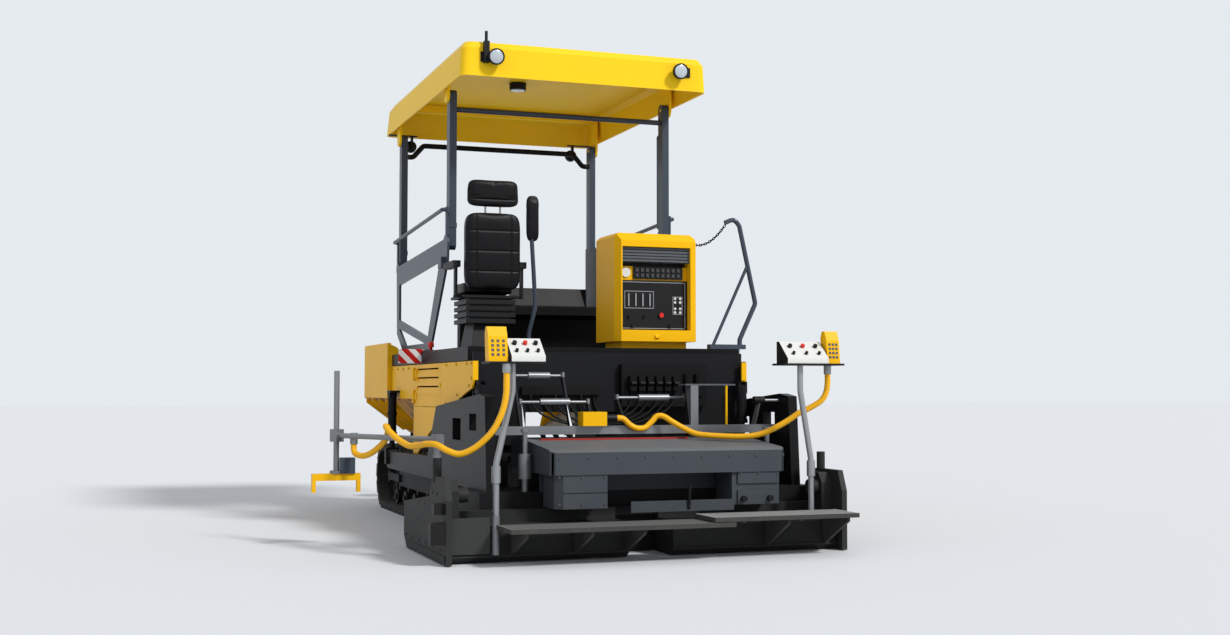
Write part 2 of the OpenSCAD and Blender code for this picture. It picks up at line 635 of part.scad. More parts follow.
// Cushion, curved back shell and headrest
module pad_form(x, y, z, r) hull() for (a = x, b = z) translate([a, y[0], b]) rotate([-90, 0, 0])
    cylinder(h = y[1] - y[0], r = r, $fn = 20);
module seat_cushions() placed() color(black) {
    seat_y = tractor_y + 700;
    hull() {
        block([-1000, -560], [seat_y + 20, seat_y + 480], [deck_z + 420 + fit, deck_z + 500]);
        block([-970, -590], [seat_y + 40, seat_y + 450], [deck_z + 499, deck_z + 540]);
    }
    pad_form([-970, -590], [seat_y - 100, seat_y + 10], [deck_z + 490, deck_z + 1030], 50);
    for (x = [-1000, -620]) pad_form([x + 25, x + 35], [seat_y - 60, seat_y + 50], [deck_z + 560, deck_z + 900], 28);
    pad_form([-950, -610], [seat_y - 90, seat_y - 10], [deck_z + 1130, deck_z + 1290], 50);
    for (x = [-840, -720]) translate([x, seat_y - 50, deck_z + 1070]) cylinder(h = 30, d = 14);
}

// Rounded pad on a bent tube between seat and desk
module side_pad() placed() color(black) {
    y = tractor_y + 760;
    pipe([[-450, y, deck_z], [-450, y, deck_z + 120], [-410, y - 40, deck_z + 330], [-460, y - 110, deck_z + 850]], 34, 60);
    block([-490, -410], [y - 50, y + 50], [deck_z, deck_z + 12]);
    hull() for (p = [[-490, 1190, 30], [-420, 1190, 30], [-430, 890, 40], [-470, 880, 40]])
        translate([p[0], y - 140, deck_z + p[1]]) rotate([-90, 0, 0]) cylinder(h = 60, r = p[2], $fn = 20);
}

// Switch cabinet with bevelled corners, open at the rear, on a plinth
cab_x = [150, 820];
cab_y = [tractor_y + 350, tractor_y + 850];
cab_z = [deck_z + 60, deck_z + 920];
cab_rim = 45;
cab_recess = 160;
cab_open_z = [cab_z[0] + 90, cab_z[1] - 110];
cab_bevel = 70;
module cabinet_shell() placed() color(yellow) {
    difference() {
        cross_plate(cab_y[0], cab_y[1] - cab_y[0]) polygon([[cab_x[0], cab_z[0]], [cab_x[1], cab_z[0]],
            [cab_x[1], cab_z[1] - 30], [cab_x[1] - 30, cab_z[1]], [cab_x[0] + 30, cab_z[1]], [cab_x[0], cab_z[1] - 30]]);
        // bevels behind the front wall's top and left corners
        side_plate(cab_x[0] - 1, cab_x[1] - cab_x[0] + 2) polygon([[cab_y[0] - 1, cab_z[1] - 61],
            [cab_y[0] + 61, cab_z[1] + 1], [cab_y[0] - 1, cab_z[1] + 1]]);
        translate([0, 0, cab_z[0] - 1]) linear_extrude(cab_z[1] - cab_z[0] + 2) polygon([[cab_x[0] - 1, cab_y[0] - 1],
            [cab_x[0] + cab_bevel / 2, cab_y[0] - 1], [cab_x[0] - 1, cab_y[0] + cab_bevel]]);
        block([cab_x[0] + cab_rim, cab_x[1] - cab_rim], [cab_y[0] - 2, cab_y[0] + cab_recess], cab_open_z);
    }
    block([cab_x[0] + 60, cab_x[1] - 60], [cab_y[0] + 60, cab_y[1] - 60], [deck_z, cab_z[0] + 1]);
    // latch tongue under the opening
    side_plate((cab_x[0] + cab_x[1]) / 2 - 16, 32) polygon([[cab_y[0] + 1, cab_z[0] + 20], [cab_y[0] - 14, cab_z[0] + 26],
        [cab_y[0] - 14, cab_z[0] + 40], [cab_y[0] + 1, cab_z[0] + 60]]);
}

// Roller shutter, row of switches and the lower board
shutter_slats = 5;
slat_h = 24;
module cabinet_panels() placed() color(black) {
    x = [cab_x[0] + cab_rim + 1, cab_x[1] - cab_rim - 1];
    back = cab_y[0] + cab_recess - fit;
    z = [cab_open_z[0] + 1, cab_open_z[1] - 1];
    board_y = cab_y[0] + 70;
    row_z = [z[1] - 250, z[1] - 150];
    for (i = [0 : shutter_slats - 1]) side_plate(x[0], x[1] - x[0]) polygon([[back, z[1] - i * slat_h],
        [cab_y[0] + 34, z[1] - i * slat_h], [cab_y[0] + 24, z[1] - i * slat_h - 6], [cab_y[0] + 24, z[1] - i * slat_h - slat_h + 5],
        [cab_y[0] + 34, z[1] - (i + 1) * slat_h + 1], [back, z[1] - (i + 1) * slat_h - 1]]);
    block(x, [back - 30, back], z);
    block(x, [board_y, back], [z[0], row_z[0] - 12]);
    block(x, [board_y + 16, back], [row_z[0] - 13, row_z[1]]);
    block([x[0] + 118, x[1] - 40], [board_y, board_y + 17], row_z);
    // dial, switches, sliders and knobs
    translate([x[0] + 56, board_y + 18, (row_z[0] + row_z[1]) / 2]) rotate([90, 0, 0]) cylinder(h = 14, d = 76);
    for (i = [0 : 8], j = [0, 1]) block([x[0] + 134 + i * 44, x[0] + 158 + i * 44], [board_y - 9, board_y + 1],
        [row_z[0] + 14 + j * 42, row_z[0] + 42 + j * 42]);
    for (i = [0 : 3]) block([x[0] + 70 + i * 60, x[0] + 78 + i * 60], [board_y - 12, board_y + 1],
        [z[0] + 190, z[0] + 290]);
    for (q = [[110, 34, 30], [430, 34, 30], [350, 120, 40], [210, 110, 26], [80, 110, 26]])
        translate([x[0] + q[0], board_y + 1, z[0] + q[1]]) rotate([90, 0, 0]) cylinder(h = 20, d = q[2]);
}

// Valve block and filters under the deck's rear edge, with the pipes that run down to the augers
module rear_hydraulics() placed() color(black) {
    y0 = tractor_y + 60 - fit;
    block([60, 760], [y0 - 60, y0], [tunnel_z + 40, deck_z - 130]);
    for (i = [0 : 5]) block([110 + i * 70, 160 + i * 70], [y0 - 120, y0 - 59], [1120, 1230]);
    for (i = [0 : 5]) shaft([115 + i * 70, 155 + i * 70], y0 - 122, 1175, 34);
    for (x = [600, 690]) translate([x, y0 - 60, 1080]) cylinder(h = 170, d = 76);
    block([-720, -100], [y0 - 40, y0], [1090, 1150]);
}

// Twin conveyors: floor, drag chains and flight bars
chain_pitch = 160;
chain_w = 22;
slat_pitch = 240;
floor_top_z = 420;
module conveyor() placed() color(grey) {
    x1 = chassis_x - chassis_t - fit;
    y = [mouth_y, frame_front_y - 20 - fit];
    block([-x1, x1], y, [floor_top_z - 18, floor_top_z]);
    n = floor((y[1] - y[0] - 60) / chain_pitch);
    both_sides() {
        for (x = [-x1 + 14, -64]) side_plate(x, chain_w) polygon(concat([[y[0] + 30, floor_top_z - 1]],
            [for (i = [0 : n - 1], q = [[0, 12], [0.1, 18], [0.6, 18], [0.7, 12]])
                [y[0] + 30 + (i + q[0]) * chain_pitch, floor_top_z + q[1]]],
            [[y[0] + 30 + n * chain_pitch, floor_top_z + 12], [y[0] + 30 + n * chain_pitch, floor_top_z - 1]]));
        for (s = [y[0] + 90 : slat_pitch : y[1] - 60])
            block([-x1 + 35, -63], [s, s + 34], [floor_top_z - 1, floor_top_z + 14]);
    }
    // guard over the middle chains
    side_plate(-34, 68) polygon([[y[0], floor_top_z - 1], [y[0], floor_top_z + 18], [y[1], floor_top_z + 18],
        [y[1], floor_top_z - 1]]);
}

// Folding wing: sloping floor, upright wall with a folded rim, end walls and hinge knuckles
module hopper_wing(right) color(yellow) on_side(right) {
    y = [wall_y + 20, wing_front_y];
    floor_x = -wing_hinge_x - 18;
    rim = 34;
    difference() {
        union() {
            cross_plate(y[0], y[1] - y[0]) polygon([[floor_x + 8, wing_hinge_z + 12],
                [-wing_x + wing_t, crease_z + 8], [-wing_x + wing_t, wing_top_z - 14], [-wing_x + rim, wing_top_z - 14],
                [-wing_x + rim, wing_top_z], [-wing_x, wing_top_z],
                [-wing_x, crease_z], [floor_x, wing_hinge_z - 8]]);
            for (e = [y[0], y[1] - wing_t]) cross_plate(e, wing_t)
                polygon([[floor_x, wing_hinge_z], [-wing_x + 2, crease_z], [-wing_x + 2, wing_top_z - 2],
                    [-wing_x + 90, wing_top_z - 40], [-wing_x + 190, wing_top_z - 170], [-wing_hinge_x - 60, wing_hinge_z + 190]]);
            // ribs under the sloping floor
            for (i = [0 : 3]) let (r = y[0] + 90 + i * (y[1] - y[0] - 194) / 3) cross_plate(r, 14)
                polygon([[floor_x - 40, wing_hinge_z + 30], [-wing_x + 4, crease_z - 1], [-wing_x + 4, crease_z - 50],
                    [floor_x - 90, wing_hinge_z + 20]]);
        }
        // room for the hinge lugs of the chassis
        for (i = [0 : lug_n - 1]) pin_y(-wing_hinge_x, [lug_y(i) - gap, lug_y(i) + lug_t + gap], wing_hinge_z, 90);
        for (i = [0 : lug_n - 1]) pin_y(-wing_hinge_x, [lug_y(i) - 80, lug_y(i) + lug_t + 80], wing_hinge_z, 46);
    }
    // hinge knuckles beside each lug
    for (i = [0 : lug_n - 1], e = [lug_y(i) - gap - 60, lug_y(i) + lug_t + gap]) difference() {
        pin_y(-wing_hinge_x, [e, e + 60], wing_hinge_z, 52);
        pin_y(-wing_hinge_x, [e - 1, e + 61], wing_hinge_z, hinge_pin_d + 2 * fit);
    }
}
module hopper_wing_left() placed() hopper_wing(false);
module hopper_wing_right() placed() hopper_wing(true);

// Push beam on its middle pivot, with the brackets and axles of the rollers
roller_axle_d = 40;
push_pivot_d = 110;
module push_beam() placed() color(yellow) {
    back = roller_y - 190;
    side_plate(-640, 1280) polygon([[back, roller_z - 90], [back, roller_z + 60], [back + 60, roller_z + 40],
        [back + 60, roller_z - 70]]);
    for (x = [-600, -20, 580]) side_plate(x, 20) difference() {
        union() {
            polygon([[back + 1, roller_z - 60], [roller_y, roller_z - 42], [roller_y, roller_z + 42], [back + 1, roller_z + 60]]);
            translate([roller_y, roller_z]) circle(r = 42);
        }
        block2([back + 80, roller_y - 60], [roller_z - 18, roller_z + 18]);
    }
    block([-110, 110], [frame_front_y, back - 30], [roller_z - 100, roller_z + 10]);
    translate([0, back - 31, roller_z - 40]) rotate([-90, 0, 0]) cylinder(h = 32, d = push_pivot_d);
    for (x = [-640, 616]) block([x, x + 24], [back, back + 90], [roller_z - 120, roller_z + 60]);
    for (x = [-590, 10]) shaft([x, x + 580], roller_y, roller_z, roller_axle_d);
}
module push_roller(right) color(dark) on_side(right) difference() {
    union() {
        shaft([-570, -570 + roller_l], roller_y, roller_z, roller_d - 12);
        for (x = [-570, -570 + roller_l - 40]) shaft([x, x + 40], roller_y, roller_z, roller_d);
    }
    shaft([-600, 0], roller_y, roller_z, roller_axle_d + 1);
}
module push_roller_left() placed() push_roller(false);
module push_roller_right() placed() push_roller(true);

// One post of the folding canopy, with a bore at both ends
module post(foot, foot_bore, top_bore) difference() {
    union() {
        block([post_in, post_in + post_w], [foot[0] - post_d / 2, foot[0] + post_d / 2],
            [foot[1] - 20, foot[1] + post_l + 10]);
        for (z = [foot[1], foot[1] + post_l]) shaft([post_in, post_in + post_w], foot[0], z, post_d);
        // clamp band above the foot
        block([post_in, post_in + post_w + 4], [foot[0] - post_d / 2 - 4, foot[0] + post_d / 2 + 4],
            [foot[1] + 130, foot[1] + 170]);
    }
    shaft([post_in - 5, post_in + post_w + 5], foot[0], foot[1], foot_bore);
    shaft([post_in - 5, post_in + post_w + 5], foot[0], foot[1] + post_l, top_bore);
}
// Thin bar ahead of a rear post, braced to it by a zigzag
lattice_n = 5;
lattice_out = 90;
module lattice() {
    y = rear_post_y + post_d / 2;
    z0 = fold_z + 210;
    step = (post_l - 420) / lattice_n;
    x = post_in + post_w / 2;
    block([x - 9, x + 9], [y + lattice_out - 16, y + lattice_out], [z0, z0 + lattice_n * step]);
    for (e = [0, lattice_n]) block([x - 9, x + 9], [y - 1, y + lattice_out - 15], [z0 + e * step - 9, z0 + e * step + 9]);
    side_plate(x - 5, 10) for (i = [0 : lattice_n - 1]) let (a = z0 + i * step, lo = i % 2 == 0 ? a : a + step, hi = 2 * a + step - lo)
        polygon([[y - 1, lo], [y + lattice_out - 10, hi], [y + lattice_out - 10, hi + 14 * sign(a + step / 2 - hi)],
            [y - 1, lo + 14 * sign(a + step / 2 - lo)]]);
}
module rear_posts() placed() color(steel_blue) {
    both_sides() {
        post(foot_rear, pivot_d + 2 * fit, pivot_d + 2 * fit);
        lattice();
    }
    shaft([-post_x + 20, post_x - 20], rear_post_y, fold_z + post_l - 110, 44);
}
// The front posts' cross tube is bent up between the posts
module front_posts() placed() color(steel_blue) {
    top = foot_front[1] + post_l;
    x = post_in + post_w;
    both_sides() post(foot_front, pivot_d + 2 * fit, pivot_d + 14);
    pipe([[x - 1, front_post_y, top - 155], [x + 60, front_post_y, top - 155], [x + 160, front_post_y, top - 40],
        [-x - 160, front_post_y, top - 40], [-x - 60, front_post_y, top - 155], [-x + 1, front_post_y, top - 155]], 50, 50);
}

// Moulded roof shell with rounded corners and a crowned top, open from below
roof_y = [roof_rear_y, roof_rear_y + roof_l];
roof_corner = 70;
crown_h = 18;
module roof_layer(inset, z, t, rear, front) translate([0, 0, z]) linear_extrude(t) for (x = [-1, 1], e = [
    [roof_y[0] + rear + inset + roof_corner, -1], [roof_y[1] - front - inset - roof_corner, 1]])
    translate([x * (roof_w / 2 - inset - roof_corner), e[0]]) circle(r = roof_corner, $fn = 24);
module roof_shape(inset) hull() {
    roof_layer(inset, rim_z - roof_drop / 2, 1, 0, 0);
    roof_layer(inset + 14, roof_top_z - crown_h - 50 - inset, 1, -14, 40);
    roof_layer(inset + 45, roof_top_z - crown_h - inset, 1, -20, 90);
    roof_layer(inset + 400, roof_top_z - inset - 1, 1, 300, 400);
}
module roof() placed() color(yellow) {
    difference() {
        roof_shape(0);
        translate([0, 0, -1]) roof_shape(roof_t);
    }
    inside_z = roof_top_z - crown_h - roof_t;
    // stiffening channels under the shell
    for (y = [rear_post_y, front_post_y]) block([-post_x + 10, post_x - 10], [y - 40, y + 40], [inside_z - 70, inside_z + 4]);
    both_sides() for (p = [foot_rear, foot_front]) {
        block([-post_x - 10, -post_x + 10], [p[0] - 60, p[0] + 60], [p[1] + post_l - 10, inside_z + 6]);
        shaft([-post_x - 10, -post_x + 10], p[0], p[1] + post_l, 120);
        pivot_pin([p[0], p[1] + post_l], [-post_x, post_in + post_w], pivot_d);
    }
}

// Work lamps at the rear and under the front edge, a beacon's stub and the inside lamp
beacon_d = 24;
beacon_h = 80;
lamp_d = 124;
lamp_rear_x = 780;
lamp_z = roof_top_z - 140;
module work_lamp(d) {
    // round housing, its bowl and the lens rim, pointing along -Y
    translate([0, -22, 0]) rotate([90, 0, 0]) cylinder(h = 30, d = d);
    translate([0, -51, 0]) rotate([90, 0, 0]) difference() {
        cylinder(h = 8, d = d + 6);
        translate([0, 0, 4]) cylinder(h = 5, d = d - 12);
    }
    rotate([90, 0, 0]) cylinder(h = 23, d1 = d * 0.45, d2 = d);
}
module roof_lamps() placed() color(black) {
    y = roof_y[0];
    both_sides() {
        translate([-lamp_rear_x, y - 26, lamp_z]) rotate([8, 0, 0]) work_lamp(lamp_d);
        block([-lamp_rear_x - 110, -lamp_rear_x - 60], [y - 10, y - fit], [lamp_z - 40, lamp_z + 40]);
        block([-lamp_rear_x - 90, -lamp_rear_x + 8], [y - 40, y - 9], [lamp_z - 12, lamp_z + 12]);
        // front lamps under the roof's edge
        translate([-lamp_rear_x - 40, roof_y[1] - 150, rim_z - 130]) {
            rotate([0, 0, 180]) work_lamp(lamp_d - 14);
            block([-10, 10], [-30, 10], [0, 95]);
        }
    }
    both_sides() block([-roof_w / 2 + 1, -lamp_rear_x + 10], [roof_y[1] - 180, roof_y[1] - 140],
        [rim_z - roof_drop / 2 - 12, rim_z - roof_drop / 2 - fit]);
    // stub for a beacon beside the left lamp
    block([-870, -828], [y - 50, y - fit], [roof_top_z - 190, roof_top_z - 20]);
    block([-829, -lamp_rear_x], [y - 40, y - 20], [lamp_z - 10, lamp_z + 10]);
    translate([-850, y - 25, roof_top_z - 21]) cylinder(h = beacon_h + 1, d = beacon_d);
    // inside lamp
    translate([-170, tractor_y + 2070, roof_top_z - roof_t - 66]) cylinder(h = 65 - fit, d = 150);
}

// Auger half: a shaft with a bore at each end and a helical flight
auger_x = [-1070, -90];
flight_t = 14;
flight_steps = 14;
module flight(x, pitch, d, core) {
    turns = (x[1] - x[0] - flight_t) / pitch;
    n = round(turns * flight_steps);
    function ring(i) = let (a = 360 * turns * i / n, p = x[0] + (x[1] - x[0] - flight_t) * i / n)
        [for (q = [[core / 2, 0], [d / 2, 0], [d / 2, flight_t], [core / 2, flight_t]])
            [p + q[1], q[0] * cos(a), q[0] * sin(a)]];
    points = [for (i = [0 : n]) each ring(i)];
    faces = concat([[3, 2, 1, 0]], [[4 * n, 4 * n + 1, 4 * n + 2, 4 * n + 3]],
        [for (i = [0 : n - 1], k = [0 : 3]) let (m = (k + 1) % 4)
            each [[4 * i + k, 4 * i + m, 4 * i + 4 + k], [4 * i + m, 4 * i + 4 + m, 4 * i + 4 + k]]]);
    translate([0, auger_y, auger_z]) polyhedron(points, faces);
}
auger_pin_d = 50;
module auger(right) color(grey) on_side(right) {
    difference() {
        shaft(auger_x, auger_y, auger_z, 90);
        shaft([auger_x[0] - 1, auger_x[0] + 60], auger_y, auger_z, auger_pin_d + 2 * fit);
        shaft([auger_x[1] - 60, auger_x[1] + 1], auger_y, auger_z, auger_pin_d + 2 * fit);
    }
    flight([auger_x[0] + 20, auger_x[1] - 20], auger_pitch, auger_d, 80);
}
module auger_left() placed() auger(false);
module auger_right() placed() auger(true);

// Chain case under the tunnel's roof, and a bracket with a bearing outside each chassis plate
module auger_carrier() placed() color(dark) {
    block([-70, 70], [auger_y - 60, auger_y + 62], [auger_z - 10, tunnel_z]);
    shaft([-70, 70], auger_y, auger_z, 124);
    shaft([auger_x[1] - 50, -auger_x[1] + 50], auger_y, auger_z, auger_pin_d);
    both_sides() {
        block([auger_x[0] - 30, -chassis_x], [auger_y - 45, auger_y + 45], [660, 730]);
        block([auger_x[0] - 30, auger_x[0] - 8], [auger_y - 52, auger_y + 53], [auger_z, 740]);
        shaft([auger_x[0] - 30, auger_x[0] - 8], auger_y, auger_z, 104);
        shaft([auger_x[0] - 20, auger_x[0] + 50], auger_y, auger_z, auger_pin_d);
    }
}

// Levelling cylinders, each hung on the side panel with the tow point's pin at its lower end
tow_pin_d = 50;
module levelling_cylinders() placed() color(dark) both_sides() {
    x = -arm_x - arm_t / 2;
    top = crease_z + 70;
    // bracket on the panel, the cylinder between its cheeks, the rod
    block([-arm_x - arm_t, -panel_x - fit], [tow_y - 70, tow_y + 70], [top - 20, top]);
    for (e = [-arm_t / 2, arm_t / 2 - 14]) block([x + e, x + e + 14], [tow_y - 50, tow_y + 50], [top - 60, top - 19]);
    bar([x, tow_y, top - 19], [x, tow_y, 720], 76);
    for (z = [720, 900]) bar([x, tow_y, z], [x, tow_y, z + 26], 90);
    bar([x, tow_y, 721], [x, tow_y, 600], 50);
    difference() {
        block([-arm_x - arm_t - 26, -arm_x + 16], [tow_y - 40, tow_y + 40], [tow_z - 40, 610]);
        shaft([-arm_x - arm_t - 6, -arm_x + 6], tow_y, tow_z, 190);
    }
    shaft([-arm_x - arm_t - 20, -arm_x + 10], tow_y, tow_z, tow_pin_d);
}

// Lift cylinders of the screed, hung at the tractor's rear beside the tow arms
module lift_cylinders() placed() color(zinc) both_sides() {
    x = -panel_x + 60;
    y = tractor_y - 34;
    for (e = [-36, 20]) block([x + e, x + e + 16], [tractor_y - 64, tractor_y + 60 - fit], [1100, 1190]);
    shaft([x - 42, x + 42], y, 1150, 34);
    bar([x, y, 1160], [x, y - 8, 880], 78);
    bar([x, y - 7, 900], [x, y - 9, 870], 90);
    bar([x, y - 8, 880], [x, y - 17, 700], 44);
    shaft([x - 22, x + 22], y - 18, 680, 74);
}

module tow_arms() placed() color(dark) both_sides() {
    difference() {
        side_plate(-arm_x - arm_t, arm_t) difference() {
            union() {
                polygon([[tow_y, tow_z - 75], [tow_y, tow_z + 75], [screed_y + 2250, 600],
                    [screed_y + 1950, 1000], [screed_y + 620, 1100], [screed_y + 470, 1080],
                    [screed_y + 420, frame_top_z + fit], [screed_y + 900, frame_top_z + fit]]);
                translate([tow_y, tow_z]) circle(r = 75);
            }
            block2([screed_y + 1150, screed_y + 1400], [760, 920]);
            block2([screed_y + 700, screed_y + 900], [840, 960]);
        }
        shaft([-arm_x - arm_t - 1, -arm_x + 1], tow_y, tow_z, tow_pin_d + 2 * fit);
    }
}

// Beam between the tow arms, with the screed's control boxes, rods and their brackets
plug_x = -170;
rod_d = 22;
barrel_d = 52;
upper_rod = [cross_y + 180, cross_z + 360];
lower_rod = [cross_y + 80, cross_z + 170];
module beam_bracket(x, p, w) side_plate(x - 8, 16)
    polygon([[cross_y - 28, cross_z - 1], [cross_y + 28, cross_z - 1], [p[0] + w, p[1] - 20], [p[0] + w, p[1] + w],
        [p[0] - w, p[1] + w], [p[0] - w, p[1] - 10]]);
module cross_beam() placed() color(zinc) {
    block([-arm_x, arm_x], [cross_y - 30, cross_y + 30], [cross_z - 60, cross_z]);
    // upper and lower rods on the left, one rod on the right: ends, height and barrel
    for (x = [-870, -500]) beam_bracket(x, upper_rod, 26);
    for (x = [-850, -340]) beam_bracket(x, lower_rod, 24);
    beam_bracket(-80, [upper_rod[0], cross_z + 200], 24);
    for (q = [[-872, -498, upper_rod, -760, -600], [-852, -338, lower_rod, -700, -480],
        [-82, 460, [upper_rod[0], cross_z + 200], 90, 330]]) {
        shaft([q[0], q[1]], q[2][0], q[2][1], rod_d);
        shaft([q[3], q[4]], q[2][0], q[2][1], barrel_d);
    }
    // column with the grey plate, its prop and the stub on the right
    block([440, 500], [cross_y + 5, cross_y + 120], [cross_z - 1, cross_z + 300]);
    block([455, 485], [cross_y + 119, upper_rod[0] + 22], [cross_z + 170, cross_z + 230]);
    block([400, 800], [cross_y + 5, cross_y + 150], [cross_z + 290, cross_z + 302]);
    color(yellow) bar([730, cross_y + 14, cross_z - 1], [730, cross_y + 14, cross_z + 295], 18);
    beam_bracket(945, [cross_y - 90, cross_z + 180], 26);
    color(black) shaft([905, 985], cross_y - 90, cross_z + 180, 60);
    shaft([984, arm_x - 10], cross_y - 90, cross_z + 180, rod_d);
    color(yellow) block([-430, -250], [cross_y - 90, cross_y + 30], [cross_z, cross_z + 100]);
    // plug of the right-hand cable
    color(black) shaft([-251, plug_x], cross_y - 63, cross_z + 55, cable_d + 10);
}

// Main screed: hollow beam with its heated plate, and the rail that the extensions hang on
rail_z = [262, 322];
spindle_x = 918;
module screed_frame() placed() color(dark) {
    difference() {
        block([-screed_w / 2, screed_w / 2], [main_y, main_front_y], [plate_z, frame_top_z]);
        block([-screed_w / 2 + 20, screed_w / 2 - 20], [main_y + 20, main_front_y - 20], [60, frame_top_z - 20]);
    }
    block([-screed_w / 2, screed_w / 2], [main_y - 60, main_y], rail_z);
    // height spindle on each side, with its nut and its cap
    both_sides() for (q = [[0, 90, 46], [89, 170, 90], [258, 150, 34], [407, 24, 60]])
        translate([-spindle_x, main_y + 46, frame_top_z - 1 + q[0]]) cylinder(h = q[1], d = q[2]);
}

// Cover of the main screed: folded from the rear face up to a sloping top, open below
module cover_outline(t) polygon([[screed_y + t, cover_z - 170 - t / 10], [screed_y + t, cover_z - 20 - t / 2],
    [screed_y + 60 + t / 2, cover_z - t], [main_front_y - 200, cover_z + 60 - t], [main_front_y - t, cover_z + 40 - t],
    [main_front_y - t, cover_z - 170 - t / 10]]);
box_x = [460, 820];
module screed_cover() placed() color(grey) {
    box_y = [screed_y + 10, main_y - 64];
    box_z = [walk_z + 45, cover_z - 160];
    difference() {
        side_plate(-cover_w / 2, cover_w) cover_outline(0);
        side_plate(-cover_w / 2 + 10, cover_w - 20) cover_outline(10);
        // bevelled ends of the rear face
        both_sides() translate([0, 0, cover_z - 171]) linear_extrude(300) polygon([[-cover_w / 2 - 1, screed_y - 1],
            [-cover_w / 2 + 34, screed_y - 1], [-cover_w / 2 - 1, screed_y + 34]]);
    }
    block([-820, 820], [main_y, main_y + 30], [frame_top_z, cover_z + 22]);
    block([-820, 820], [main_front_y - 60, main_front_y - 30], [frame_top_z, cover_z + 38]);
    // strip on top
    block([-760, 360], [cross_y - 135, cross_y - 110], [cover_z + 40, cover_z + 56]);
    // left box with a seam, right one in two steps with a bevelled end
    difference() {
        block([-box_x[1], -box_x[0]], box_y, box_z);
        block([-box_x[1] - 1, -box_x[0] + 1], [box_y[0] - 1, box_y[0] + 8], [box_z[0] + 100, box_z[0] + 108]);
        translate([0, 0, box_z[0] - 1]) linear_extrude(300) polygon([[-box_x[1] - 1, box_y[0] - 1],
            [-box_x[1] + 50, box_y[0] - 1], [-box_x[1] - 1, box_y[0] + 50]]);
    }
    block(box_x, [box_y[0] + 14, box_y[1]], box_z);
    block([500, 815], [box_y[0], box_y[0] + 15], [box_z[0] + 145, box_z[1]]);
    block([500, 780], [box_y[0], box_y[0] + 15], [box_z[0], box_z[0] + 100]);
    for (x = [540, 740]) translate([x, box_y[0] + 1, box_z[0] + 40]) rotate([90, 0, 0]) cylinder(h = 30, d = 40);
    // plate across the opening, and its lever
    block([-290, box_x[0] + 1], [box_y[0] + 2, box_y[0] + 8], [walk_z + 10, walk_z + 85]);
    block([box_x[0] - 10, box_x[0] + 10], [box_y[0] + 2, box_y[0] + 15], [walk_z + 10, walk_z + 85]);
    side_plate(122, 16) polygon([[box_y[0] + 4, walk_z + 20], [box_y[0] + 4, walk_z + 40], [box_y[0] - 20, walk_z + 190],
        [box_y[0] - 30, walk_z + 186], [box_y[0] - 8, walk_z + 30]]);
}

// Extension behind the main screed, drawn at its retracted place and moved out
module extension(right, out) color(dark) on_side(right) translate([-out, 0, 0]) {
    end = -screed_w / 2;
    side_plate(end, ext_l) polygon([[screed_y, plate_z + 34], [screed_y + 40, plate_z], [screed_y + ext_d, plate_z],
        [screed_y + ext_d, 240], [screed_y, 240]]);
    block([end, end + ext_l], [main_y - 66, main_y - 30], [240 - 1, rail_z[0] - fit]);
    block([end, end + ext_l], [main_y - 96, main_y - 60 - fit], [240 - 1, rail_z[1]]);
    // guide's housing at the outer end
    side_plate(end, 80) polygon([[screed_y + 50, 239], [screed_y + 200, 239], [screed_y + 200, 500],
        [screed_y + 170, 540], [screed_y + 100, 540], [screed_y + 50, 470]]);
    shaft([end + 79, end + 150], screed_y + 125, 440, 100);
    // lip along the rear plate's edge
    block([end + 20, end + ext_l - 40], [screed_y - 14, screed_y + 1], [plate_z + 36, plate_z + 50]);
    if (!right) {
        // switch panel and the heating's gas cylinder beside the walkway
        block([end + 10, end + 270], [screed_y - 24, screed_y + 1], [plate_z + 60, 300]);
        translate([end + 305, screed_y - 35, 60]) cylinder(h = 250, d = 50);
        for (z = [100, 200]) block([end + 295, end + 315], [screed_y - 30, screed_y + 1], [z, z + 24]);
    }
}
module extension_left() placed() extension(false, left_out);
module extension_right() placed() extension(true, 0);

gate_h = 560;
gate_bolt_d = 18;
gate_bolt_pitch = [200, 120];
gate_bolt_y = main_y + 250;
gate_bolt_z = 300;
socket_y = screed_y + 250;
socket_z = [gate_h - 40, gate_h + 120];
module end_plate(right, out) color(grey) on_side(right) translate([-out, 0, 0]) {
    outer = -gate_x - gate_t / 2;
    difference() {
        side_plate(outer, gate_t - fit) polygon([[screed_y - 100, plate_z], [main_front_y + 150, plate_z],
            [main_front_y + 250, 90], [main_front_y + 250, 330], [main_y + 20, 420], [main_y - 60, gate_h],
            [screed_y - 40, gate_h], [screed_y - 100, 420]]);
        // bolt holes for a cut-off shoe
        for (y = [-0.5, 0.5], z = [-0.5, 0.5]) shaft([-gate_x - gate_t, -gate_x + gate_t],
            gate_bolt_y + y * gate_bolt_pitch[0], gate_bolt_z + z * gate_bolt_pitch[1], gate_bolt_d);
        translate([-gate_x, socket_y, socket_z[0]]) cylinder(h = gate_h, d = socket_d - 2);
    }
    // wear strip along the foot
    block([outer - 9, outer + 1], [screed_y - 80, main_front_y + 140], [plate_z + 20, plate_z + 60]);
    // socket for a sensor arm's upright tube
    difference() {
        translate([-gate_x, socket_y, socket_z[0]]) cylinder(h = socket_z[1] - socket_z[0], d = socket_d);
        translate([-gate_x, socket_y, socket_z[0] + 10]) cylinder(h = gate_h, d = socket_bore);
    }
    // boxes of the sensors at the left rear corner
    if (!right) {
        block([outer - 100, outer + 1], [screed_y - 96, screed_y - 20], [140, 280]);
        block([outer - 70, outer + 1], [screed_y - 60, screed_y + 20], [330, 400]);
    }
}
module end_plate_left() placed() end_plate(false, left_out);
module end_plate_right() placed() end_plate(true, 0);

